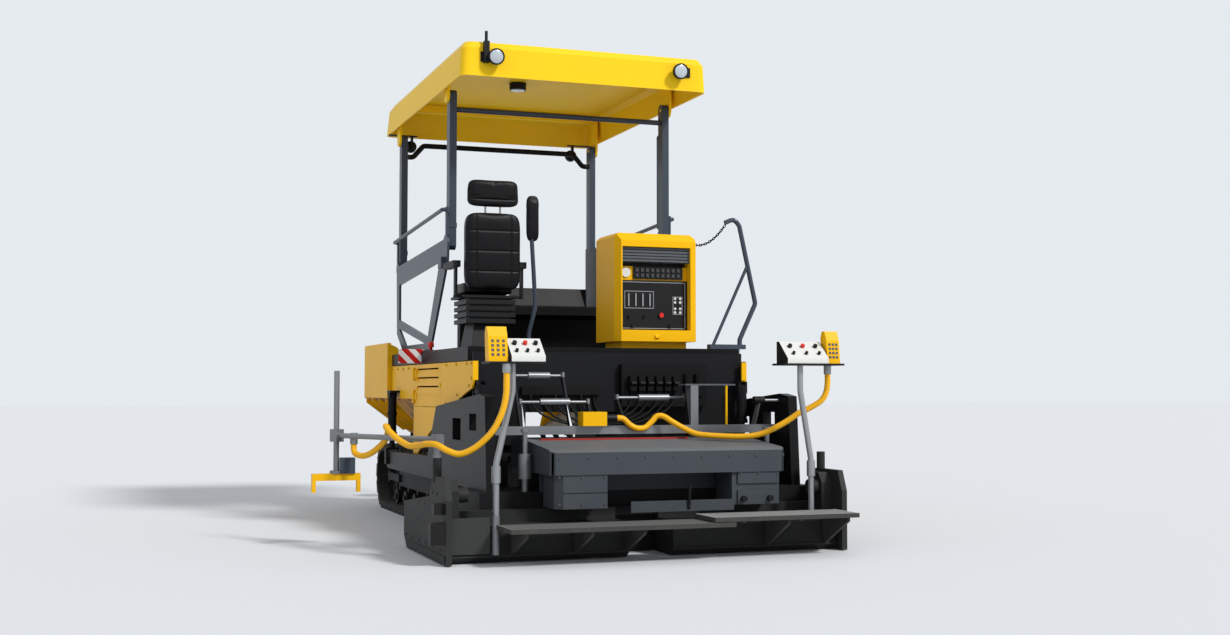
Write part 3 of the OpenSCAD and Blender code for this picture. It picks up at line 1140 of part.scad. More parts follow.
// Walkway boards with their tread's grooves, on brackets behind each extension
groove_n = 7;
module walkway(x, z, feet) color(dark) {
    difference() {
        block(x, [rear_y, rear_y + walk_d], [z - 30, z]);
        for (i = [0 : groove_n - 1]) let (y = rear_y + 30 + i * (walk_d - 46) / (groove_n - 1))
            block([x[0] + 20, x[1] - 20], [y, y + 16], [z - 5, z + 1]);
    }
    for (f = feet) side_plate(f, 20) polygon([[rear_y + 60, z - 29], [rear_y + 60, z - 60], [screed_y - 40, 60],
        [screed_y, 60], [screed_y, z - 29]]);
}
left_board_x = -screed_w / 2 - left_out + 300;
right_board_x = screed_w / 2 - 40;
module walkway_left() placed() walkway([left_board_x, left_board_x + 1540], walk_z - 35,
    [left_board_x + 110, left_board_x + 550, left_board_x + 910]);
module walkway_right() placed() walkway([right_board_x - 1070, right_board_x], walk_z,
    [right_board_x - 510, right_board_x - 60]);

// Bent post with the console's tray, its sloping panel with knobs, the handset and the cable's gland
head_z = 1300;
panel_slope = 40.6;
module console_post(foot_x, lean, tray, desk, handset) color(dark) {
    pipe([[foot_x, console_y, 240], [foot_x, console_y, 640], [foot_x + lean, console_y, 1120],
        [foot_x + lean, console_y, head_z + 1]], 42, 240);
    translate([foot_x, console_y, 520]) cylinder(h = 110, d = 60);
    block(tray, [console_y - 80, console_y + 120], [head_z, head_z + 14]);
    side_plate(desk[0], desk[1] - desk[0]) polygon([[console_y - 70, head_z + 13], [console_y - 70, head_z + 50],
        [console_y + 70, head_z + 170], [console_y + 110, head_z + 170], [console_y + 110, head_z + 13]]);
    for (i = [0 : 2], j = [0, 1]) translate([desk[0] + (i + 0.6) * (desk[1] - desk[0]) / 3.2, console_y - 34 + j * 60,
        head_z + 80 + j * 51]) rotate([panel_slope, 0, 0]) cylinder(h = 22, d = 22 + 8 * j);
    side_plate(handset[0], handset[1] - handset[0]) polygon([[console_y - 30, head_z + 13], [console_y + 60, head_z + 13],
        [console_y + 80, head_z + 200], [console_y + 60, head_z + 245], [console_y + 20, head_z + 245],
        [console_y - 10, head_z + 180]]);
}
gland_h = 60;
module gland(x, y) color(black) translate([x, y, head_z - gland_h]) cylinder(h = gland_h + 1, d = cable_d + 10);
module console_left() placed() {
    x = -screed_w / 2 - left_out + 320;
    console_post(x, 110, [x - 70, x + 320], [x + 84, x + 316], [x - 60, x + 70]);
    gland(x + 55, console_y - 50);
}
module console_right() placed() {
    x = screed_w / 2 - 180;
    console_post(x, -80, [x - 240, x + 230], [x - 210, x + 110], [x + 124, x + 224]);
    gland(x + 190, console_y + 100);
}

// Levelling sensor on its arm, which swings on an upright tube in the left end plate's socket
arm_tube_z = 800;
follower_z = 477;
module sensor_arm() placed() color(zinc) {
    foot = [-gate_x - left_out, socket_y];
    translate([foot[0], foot[1], 0]) {
        translate([0, 0, socket_z[0] + 10]) cylinder(h = arm_tube_z + 30 - socket_z[0] - 10, d = socket_bore - 2 * fit);
        // collar that rests on the socket, and the clamp round the arm
        translate([0, 0, socket_z[1]]) cylinder(h = 22, d = 58);
        rotate([0, 0, sensor_swing]) {
            block([-32, 32], [-32, 32], [arm_tube_z - 34, arm_tube_z + 34]);
            pin_y(0, [-32, sensor_arm_l - 20], arm_tube_z, 38);
            block([-34, 34], [sensor_arm_l - 45, sensor_arm_l + 34], [arm_tube_z - 45, arm_tube_z + 45]);
            // arm of the cable's plug
            block([33, 88], [sensor_arm_l - 162, sensor_arm_l - 106], [arm_tube_z - 20, arm_tube_z]);
            block([33, 50], [sensor_arm_l - 162, sensor_arm_l + 20], [arm_tube_z - 20, arm_tube_z]);
            color(black) translate([60, sensor_arm_l - 134, arm_tube_z - 60]) cylinder(h = 80, d = cable_d + 10);
        }
    }
    tip = foot + sensor_arm_l * [-sin(sensor_swing), cos(sensor_swing)];
    translate([tip[0], tip[1], 0]) {
        translate([0, 0, 535]) cylinder(h = 730, d = 40);
        color(yellow) {
            block([-follower_w / 2, follower_w / 2], [-30, 30], [follower_z, follower_z + 50]);
            for (s = [-1, 1]) translate([s * (follower_w / 2 - 12.5), 0, 0])
                block([-12.5, 12.5], [-30, 30], [follower_z - 83, follower_z + 1]);
        }
        translate([0, 0, 526]) cylinder(h = 22, d = 90);
        color(steel_blue) block([25, 130], [-45, 45], [526, 640]);
    }
}

// Hanging cables, each through its own points
cable_sides = 10;
cable_d = 44;
left_cable = [[-1175, -2810, 1240], [-1175, -2810, 1180], [-1178, -2810, 1100], [-1195, -2808, 1010], [-1230, -2803, 920],
    [-1272, -2792, 850], [-1330, -2765, 785], [-1395, -2735, 735], [-1465, -2702, 710], [-1535, -2670, 732],
    [-1600, -2625, 770], [-1650, -2545, 772], [-1680, -2450, 758], [-1722, -2345, 756], [-1772, -2230, 795],
    [-1815, -2130, 850], [-1820, -2050, 878], [-1788, -1962, 852], [-1790, -1872, 775], [-1850, -1750, 692],
    [-1900, -1640, 660], [-1940, -1560, 672], [-1949, -1532, 705], [-1949, -1532, 740]];
right_cable = [[1260, -2660, 1240], [1260, -2660, 1180], [1250, -2655, 1110], [1215, -2645, 1050], [1140, -2620, 1000],
    [1060, -2595, 960], [1000, -2570, 915], [920, -2540, 865], [840, -2515, 825], [760, -2480, 800], [660, -2435, 792],
    [560, -2390, 795], [470, -2345, 800], [385, -2295, 812], [310, -2250, 850], [240, -2210, 895], [185, -2170, 935],
    [140, -2150, 935], [100, -2146, 895], [50, -2144, 855], [-10, -2143, 850], [-65, -2143, 875], [-110, -2143, 915],
    [-140, -2143, 925], [-170, -2143, 925]];
module cable_left() placed() color(yellow) tube(left_cable, cable_d, cable_sides);
module cable_right() placed() color(yellow) tube(right_cable, cable_d, cable_sides);

chassis();
track_left();
track_right();
track_frame_left();
track_frame_right();
engine_block();
side_panel_left();
side_panel_right();
service_door_left();
service_door_right();
platform();
platform_front();
engine_hood();
side_frame_left();
side_frame_right();
handrail_right();
seat_pedestal();
seat_cushions();
side_pad();
cabinet_shell();
cabinet_panels();
rear_hydraulics();
conveyor();
hopper_wing_left();
hopper_wing_right();
push_beam();
push_roller_left();
push_roller_right();
rear_posts();
front_posts();
roof();
roof_lamps();
auger_left();
auger_right();
auger_carrier();
levelling_cylinders();
lift_cylinders();
tow_arms();
cross_beam();
screed_frame();
screed_cover();
extension_left();
extension_right();
end_plate_left();
end_plate_right();
walkway_left();
walkway_right();
console_left();
console_right();
sensor_arm();
cable_left();
cable_right();
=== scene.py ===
"""Tracked asphalt paver: finishes, soft pieces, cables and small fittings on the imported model.

Every length is in metres in the model's own frame: +Y ahead, +Z up, ground at zero.
"""
import json
import math

import bpy
import numpy as np
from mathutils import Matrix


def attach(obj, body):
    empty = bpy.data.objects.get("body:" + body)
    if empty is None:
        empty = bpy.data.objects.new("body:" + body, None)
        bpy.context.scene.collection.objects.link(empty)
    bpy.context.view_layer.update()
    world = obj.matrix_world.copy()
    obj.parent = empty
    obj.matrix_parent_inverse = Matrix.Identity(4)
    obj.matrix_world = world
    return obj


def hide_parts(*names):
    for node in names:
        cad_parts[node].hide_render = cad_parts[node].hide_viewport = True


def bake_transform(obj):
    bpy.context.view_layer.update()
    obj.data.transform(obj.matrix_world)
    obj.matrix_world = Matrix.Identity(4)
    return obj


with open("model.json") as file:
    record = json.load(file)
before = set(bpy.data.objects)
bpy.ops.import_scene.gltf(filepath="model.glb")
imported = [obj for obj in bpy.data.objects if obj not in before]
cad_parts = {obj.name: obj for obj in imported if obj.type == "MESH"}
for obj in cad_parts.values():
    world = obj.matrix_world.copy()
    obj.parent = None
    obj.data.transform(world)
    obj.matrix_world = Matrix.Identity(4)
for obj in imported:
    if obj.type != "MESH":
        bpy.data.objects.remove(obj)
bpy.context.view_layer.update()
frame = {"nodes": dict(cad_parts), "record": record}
nodes = frame["nodes"]

# the machine's middle plane in the model's frame
MIDDLE_X = 0.46529
TURN = 2 * math.pi
# the photograph's camera: width, focal length, horizon and middle row in pixels, then where it stands
FRAME_WIDTH, FOCAL_LENGTH = 1230.0, 1464.9
HORIZON_ROW, MIDDLE_ROW = 388.84, 317.5
EYE = (MIDDLE_X - 3.771, -12.068, 1.135)
EYE_TURN = math.radians(19.89)


# camera, floor and light

def srgb(r, g, b):
    """A colour as the eye names it, turned into the linear values that shaders take."""
    v = np.array([r, g, b], float)
    v = np.where(v <= 0.04045, v / 12.92, ((v + 0.055) / 1.055) ** 2.4)
    return (*v.tolist(), 1.0)


def place_camera():
    """The photograph's view, pitched up by as much as its horizon lies below its middle row."""
    data = bpy.data.cameras.new("camera")
    data.sensor_width = 36.0
    data.lens = data.sensor_width * FOCAL_LENGTH / FRAME_WIDTH
    data.clip_end = 500.0
    eye = bpy.data.objects.new("camera", data)
    eye.location = EYE
    pitch = math.atan((HORIZON_ROW - MIDDLE_ROW) / FOCAL_LENGTH)
    eye.rotation_euler = (math.pi / 2 + pitch, 0.0, -EYE_TURN)
    bpy.context.scene.collection.objects.link(eye)
    bpy.context.scene.camera = eye


def shade_tree(name):
    """A new material, its node tree, and the Principled shader that is linked to its output."""
    mat = bpy.data.materials.new(name)
    mat.use_nodes = True
    tree = mat.node_tree
    tree.nodes.clear()
    out = tree.nodes.new("ShaderNodeOutputMaterial")
    skin = tree.nodes.new("ShaderNodeBsdfPrincipled")
    tree.links.new(skin.outputs["BSDF"], out.inputs["Surface"])
    return mat, tree, skin


def pale_floor():
    """A wide plain floor that shows as pale as the sky to the camera and keeps the shadow."""
    mesh = bpy.data.meshes.new("floor")
    reach = 90.0
    mesh.from_pydata([(-reach, -reach, 0), (reach, -reach, 0), (reach, reach, 0), (-reach, reach, 0)],
                     [], [(0, 1, 2, 3)])
    floor = bpy.data.objects.new("floor", mesh)
    bpy.context.scene.collection.objects.link(floor)
    mat, _, skin = shade_tree("pale_floor")
    skin.inputs["Base Color"].default_value = srgb(0.84, 0.845, 0.85)
    skin.inputs["Roughness"].default_value = 0.85
    mesh.materials.append(mat)


def studio_light():
    """A pale world as fill, a broad key from behind the camera's right and a weak side fill."""
    world = bpy.data.worlds.new("studio")
    bpy.context.scene.world = world
    world.use_nodes = True
    tree = world.node_tree
    tree.nodes.clear()
    out = tree.nodes.new("ShaderNodeOutputWorld")
    fill = tree.nodes.new("ShaderNodeBackground")
    fill.inputs["Color"].default_value = srgb(0.93, 0.95, 0.98)
    fill.inputs["Strength"].default_value = 0.62
    seen = tree.nodes.new("ShaderNodeBackground")
    seen.inputs["Color"].default_value = srgb(0.90, 0.92, 0.94)
    seen.inputs["Strength"].default_value = 1.0
    path = tree.nodes.new("ShaderNodeLightPath")
    mix = tree.nodes.new("ShaderNodeMixShader")
    plain = path.outputs["Is Camera Ray"]
    for ray in ("Is Glossy Ray", "Is Transmission Ray"):
        either = tree.nodes.new("ShaderNodeMath")
        either.operation = "MAXIMUM"
        tree.links.new(plain, either.inputs[0])
        tree.links.new(path.outputs[ray], either.inputs[1])
        plain = either.outputs[0]
    tree.links.new(plain, mix.inputs[0])
    tree.links.new(fill.outputs[0], mix.inputs[1])
    tree.links.new(seen.outputs[0], mix.inputs[2])
    tree.links.new(mix.outputs[0], out.inputs["Surface"])
    for name, energy, angle, tilt, turn in (("key", 2.7, 10.0, 50.0, 32.0),
                                            ("side", 0.25, 30.0, 62.0, -50.0)):
        data = bpy.data.lights.new(name, "SUN")
        data.energy = energy
        data.angle = math.radians(angle)
        lamp = bpy.data.objects.new(name, data)
        lamp.rotation_euler = (math.radians(tilt), 0.0, math.radians(turn))
        bpy.context.scene.collection.objects.link(lamp)


place_camera()
pale_floor()
studio_light()
bpy.context.scene.view_settings.view_transform = "Standard"


# shapes worked out on grids

# straight pieces between two given points of a smooth path, before it is cut evenly
CURVE_CUTS = 24
# directions that no path and no axis here follows, to start a ring from
PATH_ASKEW = (0.31, 0.47, 0.83)
AXIS_ASKEW = (0.31, 0.83, 0.47)


def shown(name, mesh, material):
    """An object at the origin that shows the mesh in one material."""
    piece = bpy.data.objects.new(name, mesh)
    bpy.context.scene.collection.objects.link(piece)
    piece.data.materials.append(material)
    return piece


def grid_piece(name, points, faces, material, smooth=True):
    """An object made of points and faces that all have the same number of corners, both arrays."""
    mesh = bpy.data.meshes.new(name)
    points = np.asarray(points, np.float32)
    mesh.vertices.add(len(points))
    mesh.vertices.foreach_set("co", points.ravel())
    faces = np.asarray(faces, np.int32)
    corners = faces.shape[1]
    mesh.loops.add(faces.size)
    mesh.loops.foreach_set("vertex_index", faces.ravel())
    mesh.polygons.add(len(faces))
    mesh.polygons.foreach_set("loop_start", np.arange(len(faces), dtype=np.int32) * corners)
    mesh.polygons.foreach_set("use_smooth", np.full(len(faces), smooth))
    mesh.update(calc_edges=True)
    mesh.validate()
    return shown(name, mesh, material)


def mixed_mesh(name, points, faces, smooth=True):
    """A mesh of an array of points and a list of faces with different numbers of corners."""
    mesh = bpy.data.meshes.new(name)
    mesh.from_pydata(points.tolist(), [], faces)
    mesh.polygons.foreach_set("use_smooth", np.full(len(mesh.polygons), smooth))
    return mesh


def run_along(path):
    """The length run from a path's start to each of its points."""
    return np.concatenate([[0], np.cumsum(np.linalg.norm(np.diff(path, axis=0), axis=1))])


def points_at(place, run, path):
    """The points of a path at the given lengths from its start."""
    return np.stack([np.interp(place, run, path[:, k]) for k in range(3)], axis=1)


def rings(around, side, other, phase=0.0):
    """Unit circles of that many points, one for each row of the two side directions."""
    turn = (np.arange(around) + phase) / around * TURN
    return np.cos(turn)[None, :, None] * side[:, None] + np.sin(turn)[None, :, None] * other[:, None]


def ring_quads(rows, around):
    """Quads between each ring of points and the next."""
    i = np.arange(rows - 1)[:, None] * around
    k = np.arange(around)[None, :]
    m = (k + 1) % around
    return np.stack([i + k, i + m, i + around + m, i + around + k], axis=-1).reshape(-1, 4)


def smooth_path(points, step):
    """A curve through the points: cubic pieces whose slopes come from the neighbours, cut evenly."""
    p = np.asarray(points, float)
    first, last = 2 * p[0] - p[1], 2 * p[-1] - p[-2]
    q = np.vstack([first, p, last])
    t = np.linspace(0, 1, CURVE_CUTS, endpoint=False)[:, None]
    rows = []
    for i in range(1, len(q) - 2):
        a, b, c, d = q[i - 1], q[i], q[i + 1], q[i + 2]
        rows.append(0.5 * (2 * b + (c - a) * t + (2 * a - 5 * b + 4 * c - d) * t ** 2
                           + (3 * b - a - 3 * c + d) * t ** 3))
    fine = np.vstack(rows + [p[-1:]])
    run = run_along(fine)
    even = np.linspace(0, run[-1], max(3, int(round(run[-1] / step)) + 1))
    return points_at(even, run, fine)


def path_frames(path):
    """Two side directions at each point, carried along the path with the least twist."""
    ahead = np.gradient(path, axis=0)
    ahead /= np.linalg.norm(ahead, axis=1)[:, None]
    side = np.cross(ahead[0], PATH_ASKEW)
    side /= np.linalg.norm(side)
    sides = [side]
    for way in ahead[1:]:
        side = sides[-1] - way * np.dot(sides[-1], way)
        sides.append(side / np.linalg.norm(side))
    sides = np.array(sides)
    return sides, np.cross(ahead, sides)


def tube(name, points, diameter, material, step, around, ripple=0.0, pitch=0.02):
    """Hose or bar along a smooth path, each end closed by a centre point; also its path and its length.

    A ripple makes the radius wave along it, once in each pitch, like a conduit's.
    """
    path = smooth_path(points, step)
    run = run_along(path)
    radius = diameter / 2 - ripple * (0.5 - 0.5 * np.cos(TURN * run / pitch))
    wall = (path[:, None] + radius[:, None, None] * rings(around, *path_frames(path))).reshape(-1, 3)
    k = np.arange(around)
    m = (k + 1) % around
    last = (len(path) - 1) * around
    centre = np.full(around, len(wall))
    faces = (ring_quads(len(path), around).tolist() + np.stack([m, k, centre], axis=1).tolist()
             + np.stack([last + k, last + m, centre + 1], axis=1).tolist())
    mesh = mixed_mesh(name, np.vstack([wall, path[:1], path[-1:]]), faces)
    layer = mesh.uv_layers.new(name="UVMap")
    corners = np.empty(len(mesh.loops), np.int32)
    mesh.loops.foreach_get("vertex_index", corners)
    along = np.concatenate([np.repeat(run, around), run[:1], run[-1:]])
    across = np.concatenate([np.tile(k / around, len(path)), [0.5, 0.5]])
    uv = np.stack([along[corners], across[corners]], axis=1)
    layer.data.foreach_set("uv", uv.astype(np.float32).ravel())
    mesh.update()
    return shown(name, mesh, material), path, float(run[-1])


def at_machine(points):
    """Points given from the machine's middle plane, in metres, moved into the model's frame."""
    return np.asarray(points, float) + (MIDDLE_X, 0, 0)


# effects shared by the finishes

def new_group(name, inputs, outputs):
    """A shader node group with named number and vector sockets, and its two end nodes."""
    group = bpy.data.node_groups.new(name, "ShaderNodeTree")
    kinds = {"number": "NodeSocketFloat", "vector": "NodeSocketVector"}
    for label, kind, value in inputs:
        socket = group.interface.new_socket(label, in_out="INPUT", socket_type=kinds[kind])
        if value is not None:
            socket.default_value = value
    for label, kind in outputs:
        group.interface.new_socket(label, in_out="OUTPUT", socket_type=kinds[kind])
    return group, group.nodes.new("NodeGroupInput"), group.nodes.new("NodeGroupOutput")


def link_math(tree, op, a, b=None, clamp=False):
    """A Math node fed by sockets or plain numbers."""
    node = tree.nodes.new("ShaderNodeMath")
    node.operation = op
    node.use_clamp = clamp
    for i, value in enumerate((a, b)):
        if value is None:
            continue
        if isinstance(value, (int, float)):
            node.inputs[i].default_value = value
        else:
            tree.links.new(value, node.inputs[i])
    return node.outputs[0]


def link_noise(tree, vector, scale, detail=4.0, rough=0.6):
    """A noise texture's value at the given scale, which is a number or a socket."""
    node = tree.nodes.new("ShaderNodeTexNoise")
    tree.links.new(vector, node.inputs["Vector"])
    if isinstance(scale, (int, float)):
        node.inputs["Scale"].default_value = scale
    else:
        tree.links.new(scale, node.inputs["Scale"])
    node.inputs["Detail"].default_value = detail
    node.inputs["Roughness"].default_value = rough
    return node.outputs["Fac"]


def link_parts(tree, vector):
    """The outputs X, Y and Z of a vector's socket."""
    node = tree.nodes.new("ShaderNodeSeparateXYZ")
    tree.links.new(vector, node.inputs[0])
    return node.outputs


def link_ramp(tree, value, low, high):
    """A value taken from 0 to 1 between two limits."""
    node = tree.nodes.new("ShaderNodeMapRange")
    node.inputs["From Min"].default_value = low
    node.inputs["From Max"].default_value = high
    tree.links.new(value, node.inputs["Value"])
    return node.outputs["Result"]


def link_mix(tree, mask, a, b):
    """Colour a where the mask, a socket, is 0 and colour b where it is 1; each a socket or a colour."""
    node = tree.nodes.new("ShaderNodeMix")
    node.data_type = "RGBA"
    tree.links.new(mask, node.inputs["Factor"])
    for socket, value in ((node.inputs[6], a), (node.inputs[7], b)):
        if isinstance(value, tuple):
            socket.default_value = value
        else:
            tree.links.new(value, socket)
    return node.outputs[2]


def dirt_group():
    """Dust that lies on upward faces and low places, broken up by noise, and a fine grain."""
    group, given, out = new_group(
        "dust_and_grain",
        [("Vector", "vector", None), ("Dust", "number", 0.5), ("Low", "number", 0.0),
         ("High", "number", 2.0), ("Grain", "number", 250.0)],
        [("Mask", "number"), ("Grain", "number"), ("Spots", "number")])
    spot = given.outputs["Vector"]
    shape = group.nodes.new("ShaderNodeNewGeometry")
    up = link_ramp(group, link_parts(group, shape.outputs["Normal"])["Z"], 0.35, 1.0)
    height = group.nodes.new("ShaderNodeMapRange")
    group.links.new(link_parts(group, spot)["Z"], height.inputs["Value"])
    group.links.new(given.outputs["High"], height.inputs["From Min"])
    group.links.new(given.outputs["Low"], height.inputs["From Max"])
    broad = link_ramp(group, link_noise(group, spot, 3.1, 5.0, 0.62), 0.36, 0.72)
    fine = link_ramp(group, link_noise(group, spot, 23.0, 6.0, 0.7), 0.42, 0.78)
    near = link_math(group, "MULTIPLY", height.outputs["Result"], link_math(group, "ADD", broad, 0.25))
    both = link_math(group, "ADD", link_math(group, "MULTIPLY", up, 0.55), near)
    broken = link_math(group, "ADD", link_math(group, "MULTIPLY", fine, 0.55), 0.5)
    both = link_math(group, "MULTIPLY", both, broken)
    mask = link_math(group, "MULTIPLY", both, given.outputs["Dust"], clamp=True)
    group.links.new(mask, out.inputs["Mask"])
    group.links.new(link_noise(group, spot, given.outputs["Grain"], 3.0, 0.6), out.inputs["Grain"])
    spots = link_ramp(group, link_noise(group, spot, 61.0, 7.0, 0.75), 0.62, 0.70)
    group.links.new(spots, out.inputs["Spots"])
    return group


# one red and one white stripe, and one rib of a board with its groove
STRIPE_PITCH = 0.12
RIB_PITCH = 0.012
DUST = dirt_group()
DUST_GREY = srgb(0.40, 0.385, 0.36)
SOOT = srgb(0.21, 0.20, 0.185)
RUST = srgb(0.36, 0.17, 0.08)
# roughness where dust lies thick, and how far the grain moves roughness either way
DUST_ROUGHNESS, ROUGHNESS_SPREAD = 0.85, 0.12
# every finish by its name; each slot of the solids has one of its own name
FINISHES = {}


def finish(name, colour, roughness, dust=0.3, metallic=0.0, coat=0.0, grain=220.0, bump=0.12,
           bump_depth=0.0006, shift=0.10, low=0.0, high=1.6, dust_colour=DUST_GREY, rust=0.0,
           pattern=None, shine=0.22):
    """One painted, plastic or metal finish: a base colour that varies a little, dust, and grain."""
    mat, tree, skin = shade_tree(name)
    where = tree.nodes.new("ShaderNodeTexCoord")
    spot = where.outputs["Object"]
    effect = tree.nodes.new("ShaderNodeGroup")
    effect.node_tree = DUST
    tree.links.new(spot, effect.inputs["Vector"])
    effect.inputs["Dust"].default_value = dust
    effect.inputs["Low"].default_value = low
    effect.inputs["High"].default_value = high
    effect.inputs["Grain"].default_value = grain
    broad = link_noise(tree, spot, 1.3, 3.0, 0.5)
    dark = tuple(c * (1 - shift) for c in colour[:3]) + (1.0,)
    light = tuple(min(1.0, c * (1 + shift)) for c in colour[:3]) + (1.0,)
    base = link_mix(tree, link_ramp(tree, broad, 0.3, 0.7), dark, light)
    if pattern is not None:
        base = pattern(tree, spot, base)
    if rust > 0:
        base = link_mix(tree, link_math(tree, "MULTIPLY", effect.outputs["Spots"], rust), base, RUST)
    base = link_mix(tree, effect.outputs["Mask"], base, dust_colour)
    tree.links.new(base, skin.inputs["Base Color"])
    rougher = link_math(tree, "MULTIPLY", effect.outputs["Mask"], DUST_ROUGHNESS - roughness)
    rough = link_math(tree, "ADD", rougher, roughness)
    vary = link_math(tree, "SUBTRACT", effect.outputs["Grain"], 0.5)
    vary = link_math(tree, "MULTIPLY", vary, ROUGHNESS_SPREAD)
    tree.links.new(link_math(tree, "ADD", rough, vary, clamp=True), skin.inputs["Roughness"])
    if metallic > 0:
        hidden = link_math(tree, "MULTIPLY", effect.outputs["Mask"], metallic)
        tree.links.new(link_math(tree, "SUBTRACT", metallic, hidden), skin.inputs["Metallic"])
    skin.inputs["Specular IOR Level"].default_value = shine
    if coat > 0:
        skin.inputs["Coat Weight"].default_value = coat
        skin.inputs["Coat Roughness"].default_value = 0.12
    relief = tree.nodes.new("ShaderNodeBump")
    relief.inputs["Strength"].default_value = bump
    relief.inputs["Distance"].default_value = bump_depth
    tree.links.new(effect.outputs["Grain"], relief.inputs["Height"])
    tree.links.new(relief.outputs["Normal"], skin.inputs["Normal"])
    FINISHES[name] = mat
    return mat


yellow_paint = finish("yellow_paint", srgb(0.93, 0.70, 0.05), 0.40, dust=0.10, shine=0.10, shift=0.05,
                      high=1.3, dust_colour=srgb(0.42, 0.34, 0.20))
finish("yellow_shell", srgb(0.96, 0.78, 0.10), 0.40, dust=0.05, shine=0.12, shift=0.03,
       high=0.2)
black_paint = finish("black_paint", srgb(0.058, 0.058, 0.063), 0.42, dust=0.14, shine=0.12, high=1.8,
                     dust_colour=SOOT)
blue_grey_paint = finish("blue_grey_paint", srgb(0.22, 0.255, 0.30), 0.40, dust=0.10, coat=0.1, high=1.0)
dark_steel = finish("dark_steel", srgb(0.08, 0.082, 0.09), 0.55, dust=0.35, shine=0.15, metallic=0.2,
                    high=1.2, bump=0.25, dust_colour=SOOT)
finish("track_rubber", srgb(0.07, 0.07, 0.07), 0.8, dust=0.60, high=0.7, bump=0.4,
       bump_depth=0.002, dust_colour=srgb(0.30, 0.29, 0.27))
black_plastic = finish("black_plastic", srgb(0.05, 0.05, 0.055), 0.5, dust=0.10, grain=600.0, bump=0.3,
                       high=1.0, dust_colour=SOOT)
seat_vinyl = finish("seat_vinyl", srgb(0.036, 0.036, 0.041), 0.42, dust=0.04, shine=0.15, grain=900.0,
                    bump=0.4, high=1.0, dust_colour=SOOT)
finish("worn_steel", srgb(0.40, 0.39, 0.38), 0.42, dust=0.45, metallic=0.8, rust=0.5, bump=0.3)
zinc_steel = finish("zinc_steel", srgb(0.50, 0.51, 0.52), 0.36, dust=0.25, metallic=0.6, high=1.3,
                    shift=0.15)
finish("grey_paint", srgb(0.228, 0.25, 0.27), 0.45, dust=0.25, shine=0.18, high=0.9, rust=0.25)
finish("walkway_rubber", srgb(0.21, 0.21, 0.205), 0.75, dust=0.35, bump=0.5,
       bump_depth=0.002)
cable_yellow = finish("cable_yellow", srgb(0.93, 0.68, 0.05), 0.45, dust=0.12, high=0.8, coat=0.1,
                      dust_colour=srgb(0.40, 0.33, 0.20))


def blotches(tree, spot, base):
    """Scorched and rusty patches that run together, brown at the heart and paler round it."""
    broad = link_noise(tree, spot, 5.5, 6.0, 0.68)
    base = link_mix(tree, link_ramp(tree, broad, 0.46, 0.60), base, srgb(0.50, 0.33, 0.10))
    return link_mix(tree, link_ramp(tree, broad, 0.54, 0.66), base, srgb(0.36, 0.13, 0.06))


def stripes(tree, spot, base):
    """Red and white stripes that lean by 45 degrees, each half a pitch wide along the edge."""
    parts = link_parts(tree, spot)
    slope = link_math(tree, "ADD", parts["X"], parts["Z"])
    wave = link_math(tree, "FRACT", link_math(tree, "DIVIDE", slope, STRIPE_PITCH))
    mask = link_math(tree, "GREATER_THAN", wave, 0.5)
    return link_mix(tree, mask, base, srgb(0.78, 0.10, 0.08))


def ribs(tree, spot, base):
    """Darker lines along the board, one in each rib's pitch, between its ribs."""
    wave = link_math(tree, "FRACT", link_math(tree, "DIVIDE", link_parts(tree, spot)["Y"], RIB_PITCH))
    mask = link_math(tree, "MULTIPLY", link_math(tree, "GREATER_THAN", wave, 0.62), 0.45)
    return link_mix(tree, mask, base, srgb(0.16, 0.16, 0.16))


def scuffs(tree, spot, base):
    """Bright rubbed streaks across a surface that mix slides over."""
    stretch = tree.nodes.new("ShaderNodeVectorMath")
    stretch.operation = "MULTIPLY"
    stretch.inputs[1].default_value = (4.0, 30.0, 30.0)
    tree.links.new(spot, stretch.inputs[0])
    lines = link_ramp(tree, link_noise(tree, stretch.outputs[0], 1.0, 5.0, 0.6), 0.52, 0.68)
    return link_mix(tree, link_math(tree, "MULTIPLY", lines, 0.6), base, srgb(0.56, 0.55, 0.53))


striped = finish("striped_plate", srgb(0.93, 0.93, 0.92), 0.45, dust=0.10, shift=0.02, high=1.0,
                 pattern=stripes)
white_panel = finish("white_panel", srgb(0.84, 0.84, 0.82), 0.42, dust=0.12, shift=0.03, high=1.0)
switch_grey = finish("switch_grey", srgb(0.24, 0.24, 0.245), 0.4, dust=0.05, coat=0.2, shift=0.25,
                     grain=60.0, high=1.0)
pale_grey = finish("pale_grey", srgb(0.62, 0.63, 0.64), 0.5, dust=0.10, shift=0.04, high=1.0)
panel_grey = finish("panel_grey", srgb(0.20, 0.205, 0.20), 0.5, dust=0.25, shift=0.08, high=1.0,
                    dust_colour=SOOT)
screed_top = finish("screed_top", srgb(0.36, 0.375, 0.39), 0.5, dust=0.30, shift=0.10, high=1.0, rust=0.2)
mid_grey = finish("mid_grey", srgb(0.33, 0.345, 0.36), 0.5, dust=0.15, shift=0.05, high=1.0)
signal_red = finish("signal_red", srgb(0.80, 0.13, 0.08), 0.4, dust=0.06, coat=0.2, shift=0.04, high=1.0)
red_strip = finish("red_strip", srgb(0.62, 0.16, 0.12), 0.5, dust=0.35, shift=0.08, high=1.0)
hopper_steel = finish("hopper_steel", srgb(0.46, 0.42, 0.37), 0.5, dust=0.40, metallic=0.6, rust=0.6,
                      shift=0.2,
                      high=1.7, pattern=scuffs)
# a darker yellow with rust blotches; on the wings' downward faces its darkness is painted shade
soot_yellow = finish("soot_yellow", srgb(0.80, 0.54, 0.06), 0.46, dust=0.25, shine=0.10, rust=0.5,
                     shift=0.10, high=1.6,
                     pattern=blotches)
board_rubber = finish("board_rubber", srgb(0.45, 0.45, 0.445), 0.8, dust=0.45, shift=0.10, bump=0.5,
                      bump_depth=0.002, pattern=ribs)
pale_board = finish("pale_board", srgb(0.68, 0.68, 0.665), 0.8, dust=0.18, shift=0.10, bump=0.5,
                    bump_depth=0.002,
                    pattern=ribs)
